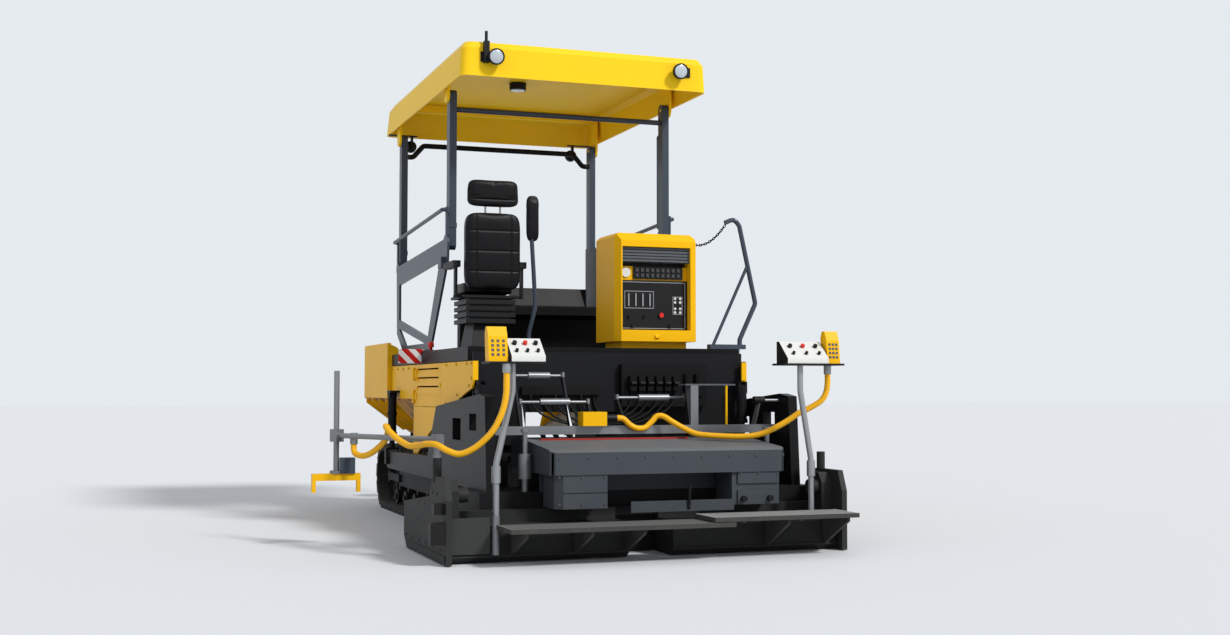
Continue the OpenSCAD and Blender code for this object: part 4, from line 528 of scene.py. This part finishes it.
sooty_grey = finish("sooty_grey", srgb(0.135, 0.14, 0.14), 0.6, dust=0.45, rust=0.4, shift=0.2, high=1.0,
                    dust_colour=SOOT)
post_steel = finish("post_steel", srgb(0.60, 0.61, 0.62), 0.35, dust=0.2, metallic=0.6, rust=0.3, high=1.2)
chain_black = finish("chain_black", srgb(0.06, 0.06, 0.06), 0.4, dust=0.1, metallic=0.3, high=1.0,
                     dust_colour=SOOT)
bolt_grey = finish("bolt_grey", srgb(0.30, 0.31, 0.32), 0.42, dust=0.25, metallic=0.5, high=1.0)
bolt_yellow = finish("bolt_yellow", srgb(0.80, 0.60, 0.06), 0.4, dust=0.15, high=1.2, dust_colour=SOOT)
hose_black = finish("hose_black", srgb(0.055, 0.055, 0.058), 0.5, dust=0.15, grain=500.0, bump=0.3,
                    high=1.3,
                    dust_colour=SOOT)
bolt_zinc = finish("bolt_zinc", srgb(0.58, 0.58, 0.57), 0.42, dust=0.25, metallic=0.7, high=1.0)
lamp_lens = finish("lamp_lens", srgb(0.74, 0.77, 0.79), 0.12, dust=0.05, metallic=0.35, coat=0.8, shine=0.5,
                   grain=90.0,
                   bump=0.3, bump_depth=0.002, shift=0.15, high=0.5)


# hanging cables

LEFT_CABLE = at_machine([
    (-1.175, -2.810, 1.240), (-1.175, -2.810, 1.180), (-1.178, -2.810, 1.100), (-1.195, -2.808, 1.010),
    (-1.230, -2.803, 0.920), (-1.272, -2.792, 0.850), (-1.330, -2.765, 0.785), (-1.395, -2.735, 0.735),
    (-1.465, -2.702, 0.710), (-1.535, -2.670, 0.732), (-1.600, -2.625, 0.770), (-1.650, -2.545, 0.772),
    (-1.680, -2.450, 0.758), (-1.722, -2.345, 0.756), (-1.772, -2.230, 0.795), (-1.815, -2.130, 0.850),
    (-1.820, -2.050, 0.878), (-1.788, -1.962, 0.852), (-1.790, -1.872, 0.775), (-1.850, -1.750, 0.692),
    (-1.900, -1.640, 0.660), (-1.940, -1.560, 0.672), (-1.949, -1.532, 0.705), (-1.949, -1.532, 0.740)])
RIGHT_CABLE = at_machine([
    (1.260, -2.660, 1.240), (1.260, -2.660, 1.180), (1.250, -2.655, 1.110), (1.215, -2.645, 1.050),
    (1.140, -2.620, 1.000), (1.060, -2.595, 0.960), (1.000, -2.570, 0.915), (0.920, -2.540, 0.865),
    (0.840, -2.515, 0.825), (0.760, -2.480, 0.800), (0.660, -2.435, 0.792), (0.560, -2.390, 0.795),
    (0.470, -2.345, 0.800), (0.385, -2.295, 0.812), (0.310, -2.250, 0.850), (0.240, -2.210, 0.895),
    (0.185, -2.170, 0.935), (0.140, -2.150, 0.935), (0.100, -2.146, 0.895), (0.050, -2.144, 0.855),
    (-0.010, -2.143, 0.850), (-0.065, -2.143, 0.875), (-0.110, -2.143, 0.915), (-0.140, -2.143, 0.925),
    (-0.170, -2.143, 0.925)])
for name, route in (("cable_left_hose", LEFT_CABLE), ("cable_right_hose", RIGHT_CABLE)):
    hose, path, length = tube(name, route, 0.044, cable_yellow, step=0.004, around=20, ripple=0.0022,
                              pitch=0.016)
    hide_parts(name.replace("_hose", ""))
    if name == "cable_left_hose":
        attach(hose, "screed_left")
    else:
        # its console end slides out with the right extension, its plug stays with the cross beam
        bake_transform(hose)


# heights of a valve's mouth, of the loop's two ends under it and under the bar, and of the bar's mouth
VALVE_Z, LOOP_Z, LOOP_END_Z, BAR_Z = 1.122, 1.092, 1.060, 1.088
# right edge of the plate that the hoses step back past
PLATE_EDGE_X = 0.035


def hose_route(x_start, x_end, y_start, y_end, depth):
    """Half an ellipse that hangs between a valve and the bar beside it, and steps back past a plate."""
    t = np.linspace(0, math.pi, 21)
    middle, half = (x_start + x_end) / 2, (x_start - x_end) / 2
    x = middle + half * np.cos(t)
    back = np.clip((PLATE_EDGE_X - x) / (PLATE_EDGE_X - x_end), 0, 1)
    y = y_start + (y_end - y_start) * back * back * (3 - 2 * back)
    z = LOOP_Z - (LOOP_Z - LOOP_END_Z) * t / math.pi - depth * np.sin(t)
    return at_machine(np.vstack([[x_start, y_start, VALVE_Z], np.stack([x, y, z], axis=1),
                                 [x_end, y_end, BAR_Z]]))


for k, (x_start, x_end, y_start, y_end, depth) in enumerate((
        (0.135, -0.150, -1.645, -1.583, 0.150), (0.275, -0.350, -1.645, -1.583, 0.195),
        (0.415, -0.550, -1.645, -1.583, 0.235), (0.205, -0.255, -1.666, -1.602, 0.165),
        (0.345, -0.455, -1.666, -1.602, 0.210), (0.485, -0.650, -1.666, -1.602, 0.225))):
    route = hose_route(x_start, x_end, y_start, y_end, depth)
    hose, path, length = tube("hydraulic_hose_%d" % k, route, 0.017, hose_black, step=0.008, around=14)
    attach(hose, "tractor")


# turned and padded pieces

def turned(name, profile, centre, axis, material, around=32):
    """Surface of revolution: profile rows of radius and height, both in metres, about an axis."""
    axis = np.asarray(axis, float) / np.linalg.norm(axis)
    side = np.cross(axis, AXIS_ASKEW)
    side /= np.linalg.norm(side)
    radius, height = np.asarray(profile, float).T
    ring = rings(around, side[None], np.cross(axis, side)[None])
    points = np.asarray(centre, float) + height[:, None, None] * axis + radius[:, None, None] * ring
    faces = ring_quads(len(radius), around).tolist()
    faces.append(np.arange(around)[::-1].tolist())
    faces.append((np.arange(around) + (len(radius) - 1) * around).tolist())
    return shown(name, mixed_mesh(name, points.reshape(-1, 3), faces), material)


def dome(name, centre, axis, radius, crown, material):
    """A lamp's lens: height crown times one minus the square of radius over its rim's radius."""
    out = np.linspace(1.0, 0.02, 12)
    rows = np.stack([radius * out, crown * (1 - out ** 2)], axis=1)
    return turned(name, np.vstack([[radius, -0.002], rows]), centre, axis, material)


def cube_grid(n):
    """Points and outward quads of a cube from -1 to 1, each side cut into n by n, welded at its edges."""
    line = np.linspace(-1, 1, n + 1)
    a, b = [g.ravel() for g in np.meshgrid(line, line, indexing="ij")]
    i, j = [g.ravel() for g in np.meshgrid(np.arange(n), np.arange(n), indexing="ij")]
    here, beyond = i * (n + 1) + j, (i + 1) * (n + 1) + j
    quad = np.stack([here, beyond, beyond + 1, here + 1], axis=1)
    points, faces = [], []
    for axis in range(3):
        for sign in (-1, 1):
            p = np.empty((len(a), 3))
            p[:, axis] = sign
            p[:, (axis + 1) % 3] = a
            p[:, (axis + 2) % 3] = b
            faces.append((quad if sign > 0 else quad[:, ::-1]) + len(points) * len(a))
            points.append(p)
    points = np.vstack(points)
    _, first, back = np.unique(np.round(points, 6), axis=0, return_index=True, return_inverse=True)
    return points[first], back.ravel()[np.vstack(faces)]


def apply_modifiers(piece):
    """Puts the piece's mesh as its modifiers leave it in place of its own, with no modifier left."""
    made = bpy.data.meshes.new_from_object(piece.evaluated_get(bpy.context.evaluated_depsgraph_get()))
    piece.modifiers.clear()
    piece.data = made


def spots_of(piece):
    """The points of a piece's mesh as one array."""
    spots = np.empty(len(piece.data.vertices) * 3, np.float32)
    piece.data.vertices.foreach_get("co", spots)
    return spots.reshape(-1, 3)


# the cloth: size of its cells, half the width that is held at a seam, its pressure and its last frame
CELL = 0.006
SEWN_REACH = 0.0045
PRESSURE = 4.0
LAST_FRAME = 20


def puff(piece, seams, middle, half, cap):
    """Blows a remeshed cover out between its seams, which stay where they are sewn, by no more than cap."""
    remesh = piece.modifiers.new("remesh", "REMESH")
    remesh.mode = "VOXEL"
    remesh.voxel_size = CELL
    apply_modifiers(piece)
    before = spots_of(piece)
    form = (before - middle) / half
    sewn = np.zeros(len(before), bool)
    for axis, place, _, _ in seams:
        sewn |= np.abs((form[:, axis] - place) * half[axis]) < SEWN_REACH
    group = piece.vertex_groups.new(name="sewn")
    group.add(np.flatnonzero(sewn).tolist(), 1.0, "REPLACE")
    cloth = piece.modifiers.new("cloth", "CLOTH")
    cloth.settings.quality = 5
    cloth.settings.use_pressure = True
    cloth.settings.uniform_pressure_force = PRESSURE
    cloth.settings.effector_weights.gravity = 0.0
    cloth.settings.vertex_group_mass = "sewn"
    cloth.point_cache.frame_start = 1
    cloth.point_cache.frame_end = LAST_FRAME
    for number in range(1, LAST_FRAME + 1):
        bpy.context.scene.frame_set(number)
    apply_modifiers(piece)
    bpy.context.scene.frame_set(1)
    move = spots_of(piece) - before
    far = np.linalg.norm(move, axis=1)[:, None]
    after = before + move * np.minimum(1.0, cap / np.maximum(far, 1e-9))
    piece.data.vertices.foreach_set("co", after.astype(np.float32).ravel())
    smooth = piece.modifiers.new("smooth", "SUBSURF")
    smooth.levels = smooth.render_levels = 1
    apply_modifiers(piece)


def pad(name, low, high, material, body, power=5.0, pinch=0.03, seams=(), n=64, cap=0.010):
    """A crowned pad that fills a box.

    Each point p of a cube is divided by its power-norm, which rounds the edges; the sides then pull in
    by pinch between the corners. It is blown out by cloth from a form smaller by cap on every side, and
    then each seam (axis, place, width, depth) sinks a soft groove.
    """
    low, high = np.asarray(low, float), np.asarray(high, float)
    half, middle = (high - low) / 2, (high + low) / 2 + (MIDDLE_X, 0, 0)
    cube, faces = cube_grid(n)
    form = cube / ((np.abs(cube) ** power).sum(axis=1) ** (1 / power))[:, None]
    form[:, [0]] *= 1 - pinch * (1 - form[:, [2]] ** 2) * (1 - 0.5 * form[:, [1]] ** 2)
    form[:, [2]] *= 1 - pinch * (1 - form[:, [0]] ** 2)
    smaller = half - cap
    piece = grid_piece(name, form * smaller + middle, faces, material)
    puff(piece, seams, middle, half, cap)
    spots = spots_of(piece)
    form = (spots - middle) / half
    thin = int(np.argmin(half))
    sink = sum(depth * np.exp(-((form[:, axis] - place) * half[axis] / width) ** 2)
               for axis, place, width, depth in seams)
    spots[:, thin] -= np.sign(form[:, thin]) * sink * form[:, thin] ** 2
    piece.data.vertices.foreach_set("co", np.ascontiguousarray(spots, np.float32).ravel())
    piece.data.polygons.foreach_set("use_smooth", np.full(len(piece.data.polygons), True))
    piece.data.update()
    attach(piece, body)
    return piece


# operator's seat and side pad
seat_seams = [(0, -0.60, 0.007, 0.006), (0, 0.60, 0.007, 0.006)]
seat_parts = [
    pad("seat_base", (-0.998, -0.908, 1.8715), (-0.562, -0.452, 1.988), seat_vinyl, "tractor",
        power=6.0, seams=seat_seams + [(1, 0.0, 0.006, 0.006), (1, -0.45, 0.006, 0.006)]),
    pad("seat_back", (-1.016, -1.028, 1.893), (-0.544, -0.905, 2.528), seat_vinyl, "tractor",
        power=6.0, seams=seat_seams + [(2, place, 0.007, 0.006) for place in (-0.5, 0.0, 0.5)]),
    pad("seat_headrest", (-0.998, -1.018, 2.552), (-0.562, -0.942, 2.788), seat_vinyl, "tractor",
        power=5.0, seams=[(2, -0.45, 0.006, 0.005)], cap=0.008),
]
for k, x in enumerate((-0.84, -0.72)):
    stem = turned("seat_stem_%d" % k, [(0.007, -0.03), (0.0075, -0.028), (0.0075, 0.058), (0.007, 0.06)],
                  (MIDDLE_X + x, -0.98, 2.505), (0, 0, 1), zinc_steel, 16)
    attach(stem, "tractor")
for piece in seat_parts:
    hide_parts("seat_cushions")

side_route = at_machine([
    (-0.45, -0.87, 1.45), (-0.45, -0.87, 1.53), (-0.447, -0.873, 1.59), (-0.418, -0.904, 1.74),
    (-0.412, -0.912, 1.81), (-0.43, -0.94, 2.02), (-0.459, -0.979, 2.30), (-0.460, -0.980, 2.33)])
pad_tube, _, _ = tube("side_pad_tube", side_route, 0.034, blue_grey_paint, step=0.02, around=20)
pad_foot = turned("side_pad_foot",
                  [(0.038, 0.0005), (0.040, 0.002), (0.040, 0.010), (0.038, 0.012), (0.022, 0.0125)],
                  (MIDDLE_X - 0.45, -0.87, 1.45), (0, 0, 1), blue_grey_paint)
side_form = pad("side_pad_form", (-0.516, -1.008, 2.294), (-0.394, -0.952, 2.666), seat_vinyl, "tractor",
                power=4.0, pinch=-0.02, seams=[(2, 0.86, 0.004, 0.003)], n=48, cap=0.006)
for piece in (pad_tube, pad_foot):
    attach(piece, "tractor")
for piece in (pad_tube, pad_foot, side_form):
    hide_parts("side_pad")


# lenses of the lamps, and the red tail lamp on the deck's left edge
tip = math.radians(8.0)
tipped = np.array([0, -math.cos(tip), -math.sin(tip)])
LAMP_DEPTH = 0.0552
for k, side in enumerate((-1, 1)):
    lamp = np.array([MIDDLE_X + side * 0.78, -1.026, 3.74])
    rear = dome("lens_rear_%d" % k, lamp + LAMP_DEPTH * tipped, tipped, 0.0555, 0.012, lamp_lens)
    front = dome("lens_front_%d" % k, (MIDDLE_X + side * 0.82, 1.9552, 3.49), (0, 1, 0), 0.0485, 0.010,
                 lamp_lens)
    for piece in (rear, front):
        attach(piece, "canopy")
inside = dome("lens_inside", (MIDDLE_X - 0.17, 0.44, 3.7995), (0, 0, -1), 0.066, 0.014, lamp_lens)
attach(inside, "canopy")
tail_rows = [(0.010, 0.0), (0.011, 0.001), (0.011, 0.028), (0.024, 0.030), (0.0255, 0.033), (0.0255, 0.060),
             (0.023, 0.068), (0.014, 0.074), (0.002, 0.076)]
tail = turned("tail_lamp", tail_rows, (MIDDLE_X - 1.075, -0.13, 1.4495), (0, 0, 1), signal_red)
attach(tail, "tractor")


# bolt heads, keys and buttons, set out in rows

HEAD = ((16, [(0.95, 0.0), (0.95, 0.10), (0.90, 0.14)]), (6, [(0.68, 0.13), (0.68, 0.52), (0.58, 0.62)]))
KEY = ((4, [(1.0, 0.0), (1.0, 0.22), (0.86, 0.30)]),)
BUTTON = ((16, [(1.0, 0.0), (1.0, 0.35), (0.8, 0.55), (0.4, 0.62)]),)


def studs(name, rows, body, size, material, profiles=HEAD):
    """Small turned heads in one piece: a row is start, end, count and the way the heads face.

    A profile is its number of sides and its rows of radius and height, which are scaled by size.
    """
    spots, ways = [], []
    for start, end, count, way in rows:
        t = np.linspace(0, 1, count)[:, None]
        spots.append(np.asarray(start) * (1 - t) + np.asarray(end) * t)
        ways.append(np.tile(np.asarray(way, float), (count, 1)))
    spots, ways = np.vstack(spots) + (MIDDLE_X, 0, 0), np.vstack(ways)
    side = np.cross(ways, (0, 0, 1.0))
    flat = np.linalg.norm(side, axis=1) < 0.01
    side[flat] = (1.0, 0, 0)
    side /= np.linalg.norm(side, axis=1)[:, None]
    other = np.cross(ways, side)
    points, faces = [], []
    for sides, profile in profiles:
        ring = rings(sides, side, other, phase=0.5)
        radius, height = np.asarray(profile).T * size
        rows_of = (spots[:, None, None] + height[None, :, None, None] * ways[:, None, None]
                   + radius[None, :, None, None] * ring[:, None])
        per = len(profile) * sides
        start = sum(len(p) for p in points)
        points.append(rows_of.reshape(-1, 3))
        wall = ring_quads(len(profile), sides)
        k = np.arange(sides)
        fan = np.stack([np.full(sides - 2, 0), k[1:-1], k[2:]], axis=1)
        top = fan + (len(profile) - 1) * sides
        base = start + np.arange(len(spots))[:, None, None] * per
        faces += (wall[None] + base).reshape(-1, 4).tolist()
        faces += (top[None] + base).reshape(-1, 3).tolist()
        faces += (fan[None, :, ::-1] + base).reshape(-1, 3).tolist()
    piece = shown(name, mixed_mesh(name, np.vstack(points), faces, smooth=False), material)
    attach(piece, body)


left, right, rear, up = (-1, 0, 0), (1, 0, 0), (0, -1, 0), (0, 0, 1)
side_rows, deck_rows = [], []
for hand, way in ((-1, left), (1, right)):
    x = hand * 1.1002
    side_rows += [((x, -1.595, 1.215), (x, -1.595, 1.325), 2, way),
                  ((x, -1.45, 1.322), (x, -0.80, 1.322), 3, way),
                  ((x, 0.62, 1.312), (x, 1.33, 1.312), 4, way),
                  ((x, -1.52, 1.16), (x, -0.78, 1.02), 3, way)]
    for y in (0.34, 1.13):
        deck_rows += [((hand * x, y, 1.4642), (hand * x, y + 0.14, 1.4642), 2, up) for x in (1.015, 0.955)]
studs("bolts_sides", side_rows, "tractor", 0.014, bolt_yellow)
studs("bolts_deck", deck_rows, "tractor", 0.017, bolt_zinc)
studs("bolts_screed", [
    ((-0.80, -2.7802, 0.675), (0.84, -2.7802, 0.675), 9, rear),
    ((-0.80, -2.7702, 0.365), (-0.48, -2.7702, 0.365), 3, rear),
    ((-0.80, -2.7702, 0.545), (-0.48, -2.7702, 0.545), 3, rear),
    ((0.52, -2.7702, 0.548), (0.80, -2.7702, 0.548), 3, rear)],
    "screed", 0.011, bolt_grey)
studs("bolts_left", [
    ((-1.50, -2.7802, 0.215), (-0.40, -2.7802, 0.215), 6, rear),
    ((-1.5902, -2.60, 0.45), (-1.5902, -2.48, 0.45), 2, left),
    ((-1.5902, -2.70, 0.10), (-1.5902, -1.65, 0.10), 6, left)], "screed_left", 0.014, bolt_grey)
studs("bolts_right", [
    ((0.10, -2.7802, 0.215), (1.20, -2.7802, 0.215), 6, rear),
    ((1.2902, -2.60, 0.45), (1.2902, -2.48, 0.45), 2, right),
    ((1.2902, -2.70, 0.10), (1.2902, -1.65, 0.10), 6, right)], "screed_right", 0.013, bolt_grey)

# keys on the two yellow handsets, and the small white buttons and frames of the cabinet's boards
for name, body, low, high in (("keys_left", "screed_left", -1.262, -1.188),
                              ("keys_right", "screed_right", 1.217, 1.271)):
    rows = []
    for z in (1.36, 1.39, 1.42, 1.45):
        y = -2.79 + 0.1205 * (z - 1.314)
        rows.append(((low, y, z), (high, y, z), 3, (0, -0.993, 0.12)))
    studs(name, rows, body, 0.0125, mid_grey, KEY)
studs("board_buttons",
      [((0.668, -1.2101, z), (0.712, -1.2101, z), 2, rear) for z in (1.745, 1.775, 1.825, 1.855)],
      "tractor", 0.0105, white_panel, BUTTON)


def frames(name, boxes, y, width, proud, material, body):
    """Thin raised rectangles: a small chamfered profile carried round the four corners of each box."""
    points, faces = [], []
    inset = np.array([0, 0.25, 0.75, 1]) * width
    height = np.array([-0.0005, proud, proud, -0.0005])
    for low_x, low_z, high_x, high_z in boxes:
        corner_x = np.array([low_x, high_x, high_x, low_x])
        corner_z = np.array([low_z, low_z, high_z, high_z])
        in_x, in_z = np.array([1, -1, -1, 1]), np.array([1, 1, -1, -1])
        x = corner_x[:, None] + in_x[:, None] * inset + MIDDLE_X
        z = corner_z[:, None] + in_z[:, None] * inset
        start = len(points) * x.size
        points.append(np.stack([x, np.broadcast_to(y - height, x.shape), z], axis=-1).reshape(-1, 3))
        i, k = [g.ravel() for g in np.meshgrid(np.arange(4), np.arange(4), indexing="ij")]
        a, b = (i + 1) % 4, (k + 1) % 4
        faces.append(np.stack([i * 4 + k, a * 4 + k, a * 4 + b, i * 4 + b], axis=1) + start)
    piece = grid_piece(name, np.vstack(points), np.vstack(faces), material, smooth=False)
    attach(piece, body)


frames("board_frames",
       [(0.215, 1.612, 0.757, 1.985), (0.648, 1.728, 0.732, 1.872), (0.236, 1.772, 0.486, 1.912)],
       -1.21, 0.006, 0.0025, pale_grey, "tractor")


# chain from the rail's hook to the cabinet

# points of a link round its loop and round its wire
LOOP_CUTS, WIRE_CUTS = 20, 8
# how far to look either way for the direction of a path
NEAR = 0.001


def chain(name, start, end, sag, link, wire, material, body):
    """Links that hang on a parabola of the given sag, every second one turned by a quarter.

    Each is a loop of wire with round ends, worked out as a tube round a closed curve.
    """
    start, end = at_machine([start, end])
    t = np.linspace(0, 1, 200)[:, None]
    path = start * (1 - t) + end * t - 4 * sag * t * (1 - t) * np.array((0, 0, 1.0))
    run = run_along(path)
    count = int(run[-1] / (link - 2 * wire))
    place = np.linspace(0, run[-1], 2 * count + 1)[1::2]
    spots = points_at(place, run, path)
    ahead = points_at(place + NEAR, run, path) - points_at(place - NEAR, run, path)
    ahead /= np.linalg.norm(ahead, axis=1)[:, None]
    flat = np.cross(ahead, (0, 0, 1.0))
    flat /= np.linalg.norm(flat, axis=1)[:, None]
    tall = np.cross(flat, ahead)
    u = np.arange(LOOP_CUTS) / LOOP_CUTS * TURN
    half = (link - wire) / 2
    bow = half * 0.55
    loop_a = np.clip(np.cos(u) * 1.25, -1, 1) * (half - bow) + np.cos(u) * bow
    loop_b = np.sin(u) * bow
    out = np.stack([np.cos(u), np.sin(u)], axis=1)
    v = np.arange(WIRE_CUTS) / WIRE_CUTS * TURN
    points = []
    for i in range(count):
        wide, thick = (flat[i], tall[i]) if i % 2 else (tall[i], flat[i])
        core = spots[i] + loop_a[:, None] * ahead[i] + loop_b[:, None] * wide
        way = out[:, [0]] * ahead[i] + out[:, [1]] * wide
        points.append((core[:, None] + wire / 2 * (np.cos(v)[None, :, None] * way[:, None]
                                                  + np.sin(v)[None, :, None] * thick)).reshape(-1, 3))
    i, k = [g.ravel() for g in np.meshgrid(np.arange(LOOP_CUTS), np.arange(WIRE_CUTS), indexing="ij")]
    i, a, b = i * WIRE_CUTS, (i + 1) % LOOP_CUTS * WIRE_CUTS, (k + 1) % WIRE_CUTS
    quad = np.stack([i + k, i + b, a + b, a + k], axis=1)
    faces = np.vstack([quad + n * LOOP_CUTS * WIRE_CUTS for n in range(count)])
    piece = shown(name, mixed_mesh(name, np.vstack(points), faces.tolist()), material)
    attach(piece, body)


chain("rail_chain", (1.006, -1.440, 2.437), (0.824, -1.20, 2.300), 0.060, 0.036, 0.0075, chain_black,
      "tractor")


# finishes of the solid nodes

slots = {part["node"]: part["material_slot"] for part in frame["record"]["subparts"]}
OWN = {"end_plate_left": sooty_grey, "end_plate_right": sooty_grey, "extension_left": sooty_grey,
       "extension_right": sooty_grey, "console_left": post_steel, "console_right": post_steel}
for name, solid in nodes.items():
    solid.data.materials.clear()
    solid.data.materials.append(OWN.get(name, FINISHES[slots[name]]))


# least height above a plane, and least cosine between a face's normal and a way, that count in paint
ABOVE_PLANE = 0.0015
FACING_LEAST = 0.25


def paint(name, material, low, high, above=None, facing=None):
    """Another finish for the faces whose middles lie in a box, past a plane and facing a way, if given."""
    mesh = nodes[name].data
    count = len(mesh.polygons)
    middle, normal = np.empty(count * 3, np.float32), np.empty(count * 3, np.float32)
    mesh.polygons.foreach_get("center", middle)
    mesh.polygons.foreach_get("normal", normal)
    middle, normal = middle.reshape(-1, 3) - (MIDDLE_X, 0, 0), normal.reshape(-1, 3)
    chosen = ((middle >= low) & (middle <= high)).all(axis=1)
    if above is not None:
        spot, way = above
        chosen &= ((middle - spot) @ np.asarray(way)) > ABOVE_PLANE
    if facing is not None:
        chosen &= (normal @ np.asarray(facing)) > FACING_LEAST
    mesh.materials.append(material)
    index = np.empty(count, np.int32)
    mesh.polygons.foreach_get("material_index", index)
    index[chosen] = len(mesh.materials) - 1
    mesh.polygons.foreach_set("material_index", index)


for hand, side in ((-1, "left"), (1, "right")):
    ends = sorted((hand * 1.301, hand * 1.083))
    paint("platform", striped, (ends[0], 0.1185, 1.345), (ends[1], 0.1255, 1.476))
    paint("hopper_wing_" + side, hopper_steel, (-1.2, 1.3, 0.6), (1.2, 2.6, 1.6),
          facing=(-hand * 0.7, 0, 0.7))
    # the lower part of each side panel in the darker yellow with rust blotches, darker towards the bottom
    paint("side_panel_" + side, soot_yellow, (-1.2, 0.4, 0.6), (1.2, 1.4, 1.052))
# the wings' downward faces in the darker yellow: painted shade, with rust blotches
for name in ("hopper_wing_left", "hopper_wing_right"):
    paint(name, soot_yellow, (-1.2, 1.37, 0.6), (1.2, 2.57, 1.049), facing=(0, 0, -1))

paint("platform_front", mid_grey, (0.445, 0.34, 1.87), (0.575, 0.385, 2.395))
paint("front_posts", black_paint, (-0.90, 1.6, 3.30), (0.90, 1.75, 3.50))
for low, high in ((0.90, 1.02), (1.095, 1.205)):
    paint("cross_beam", dark_steel, (-0.95, -2.06, low), (0.47, -1.85, high))
paint("cross_beam", yellow_paint, (-0.432, -2.172, 0.8705), (-0.248, -2.049, 0.9715))
paint("cross_beam", black_plastic, (-0.2495, -2.175, 0.89), (-0.169, -2.11, 0.96))
paint("cross_beam", yellow_paint, (0.715, -2.08, 0.88), (0.745, -2.05, 1.155))
paint("cross_beam", black_plastic, (0.90, -2.21, 1.015), (0.99, -2.13, 1.085))
paint("cross_beam", mid_grey, (0.395, -2.08, 1.155), (0.805, -1.92, 1.175))
paint("screed_frame", zinc_steel, (-0.97, -2.42, 0.4305), (0.97, -2.31, 0.9))
paint("screed_cover", screed_top, (-1.2, -2.79, 0.70), (1.2, -2.19, 0.80), facing=(0, 0, 1))
paint("screed_cover", red_strip, (-0.765, -2.22, 0.7755), (0.365, -2.185, 0.792))
paint("screed_cover", black_plastic, (0.51, -2.81, 0.35), (0.77, -2.7705, 0.40))
paint("screed_cover", black_plastic, (0.118, -2.82, 0.30), (0.142, -2.7705, 0.49))
paint("extension_left", zinc_steel, (-1.275, -2.845, 0.055), (-1.215, -2.785, 0.315))
paint("extension_left", panel_grey, (-1.545, -2.81, 0.06), (-1.275, -2.7805, 0.305))
paint("end_plate_left", black_plastic, (-1.695, -2.88, 0.13), (-1.5905, -2.75, 0.41))
paint("sensor_arm", yellow_paint, (-2.24, -1.47, 0.39), (-1.88, -1.40, 0.5275))
paint("sensor_arm", blue_grey_paint, (-2.035, -1.481, 0.5285), (-1.926, -1.387, 0.642))
paint("seat_pedestal", black_plastic, (-1.2, -1.0, 1.44), (-0.4, -0.4, 1.86))

for name, x0, width, hand in (("console_left", -1.146, 0.232, (-1.295, -1.155)),
                              ("console_right", 0.86, 0.32, (1.19, 1.30))):
    slope = ((0, -2.83, 1.35), (0, -0.651, 0.759))
    paint(name, black_plastic, (x0 - 0.2, -2.85, 1.2995), (x0 + 0.5, -2.63, 1.60))
    paint(name, white_panel, (x0, -2.831, 1.314), (x0 + width, -2.649, 1.50), facing=(0, -0.651, 0.759))
    paint(name, black_plastic, (x0, -2.86, 1.314), (x0 + width, -2.64, 1.52), above=slope)
    middle = x0 + width / 2
    paint(name, signal_red, (middle - 0.02, -2.78, 1.40), (middle + 0.02, -2.70, 1.47), above=slope)
    paint(name, yellow_paint, (hand[0], -2.80, 1.3145), (hand[1], -2.67, 1.56))

paint("cabinet_panels", mid_grey, (0.1, -1.27, 2.137), (0.9, -1.10, 2.262))
paint("cabinet_panels", yellow_paint, (0.1, -1.196, 1.990), (0.9, -1.192, 2.12))
paint("cabinet_panels", white_panel, (0.21, -1.208, 2.01), (0.30, -1.2055, 2.11))
paint("cabinet_panels", switch_grey, (0.32, -1.2205, 2.015), (0.75, -1.2105, 2.10))
paint("cabinet_panels", pale_grey, (0.2, -1.2235, 1.78), (0.52, -1.2105, 1.90))
paint("cabinet_panels", signal_red, (0.53, -1.2305, 1.695), (0.57, -1.228, 1.745))
for name, top in (("walkway_left", board_rubber), ("walkway_right", pale_board)):
    paint(name, top, (-1.6, -3.25, 0.20), (1.6, -2.80, 0.35), facing=(0, 0, 1))
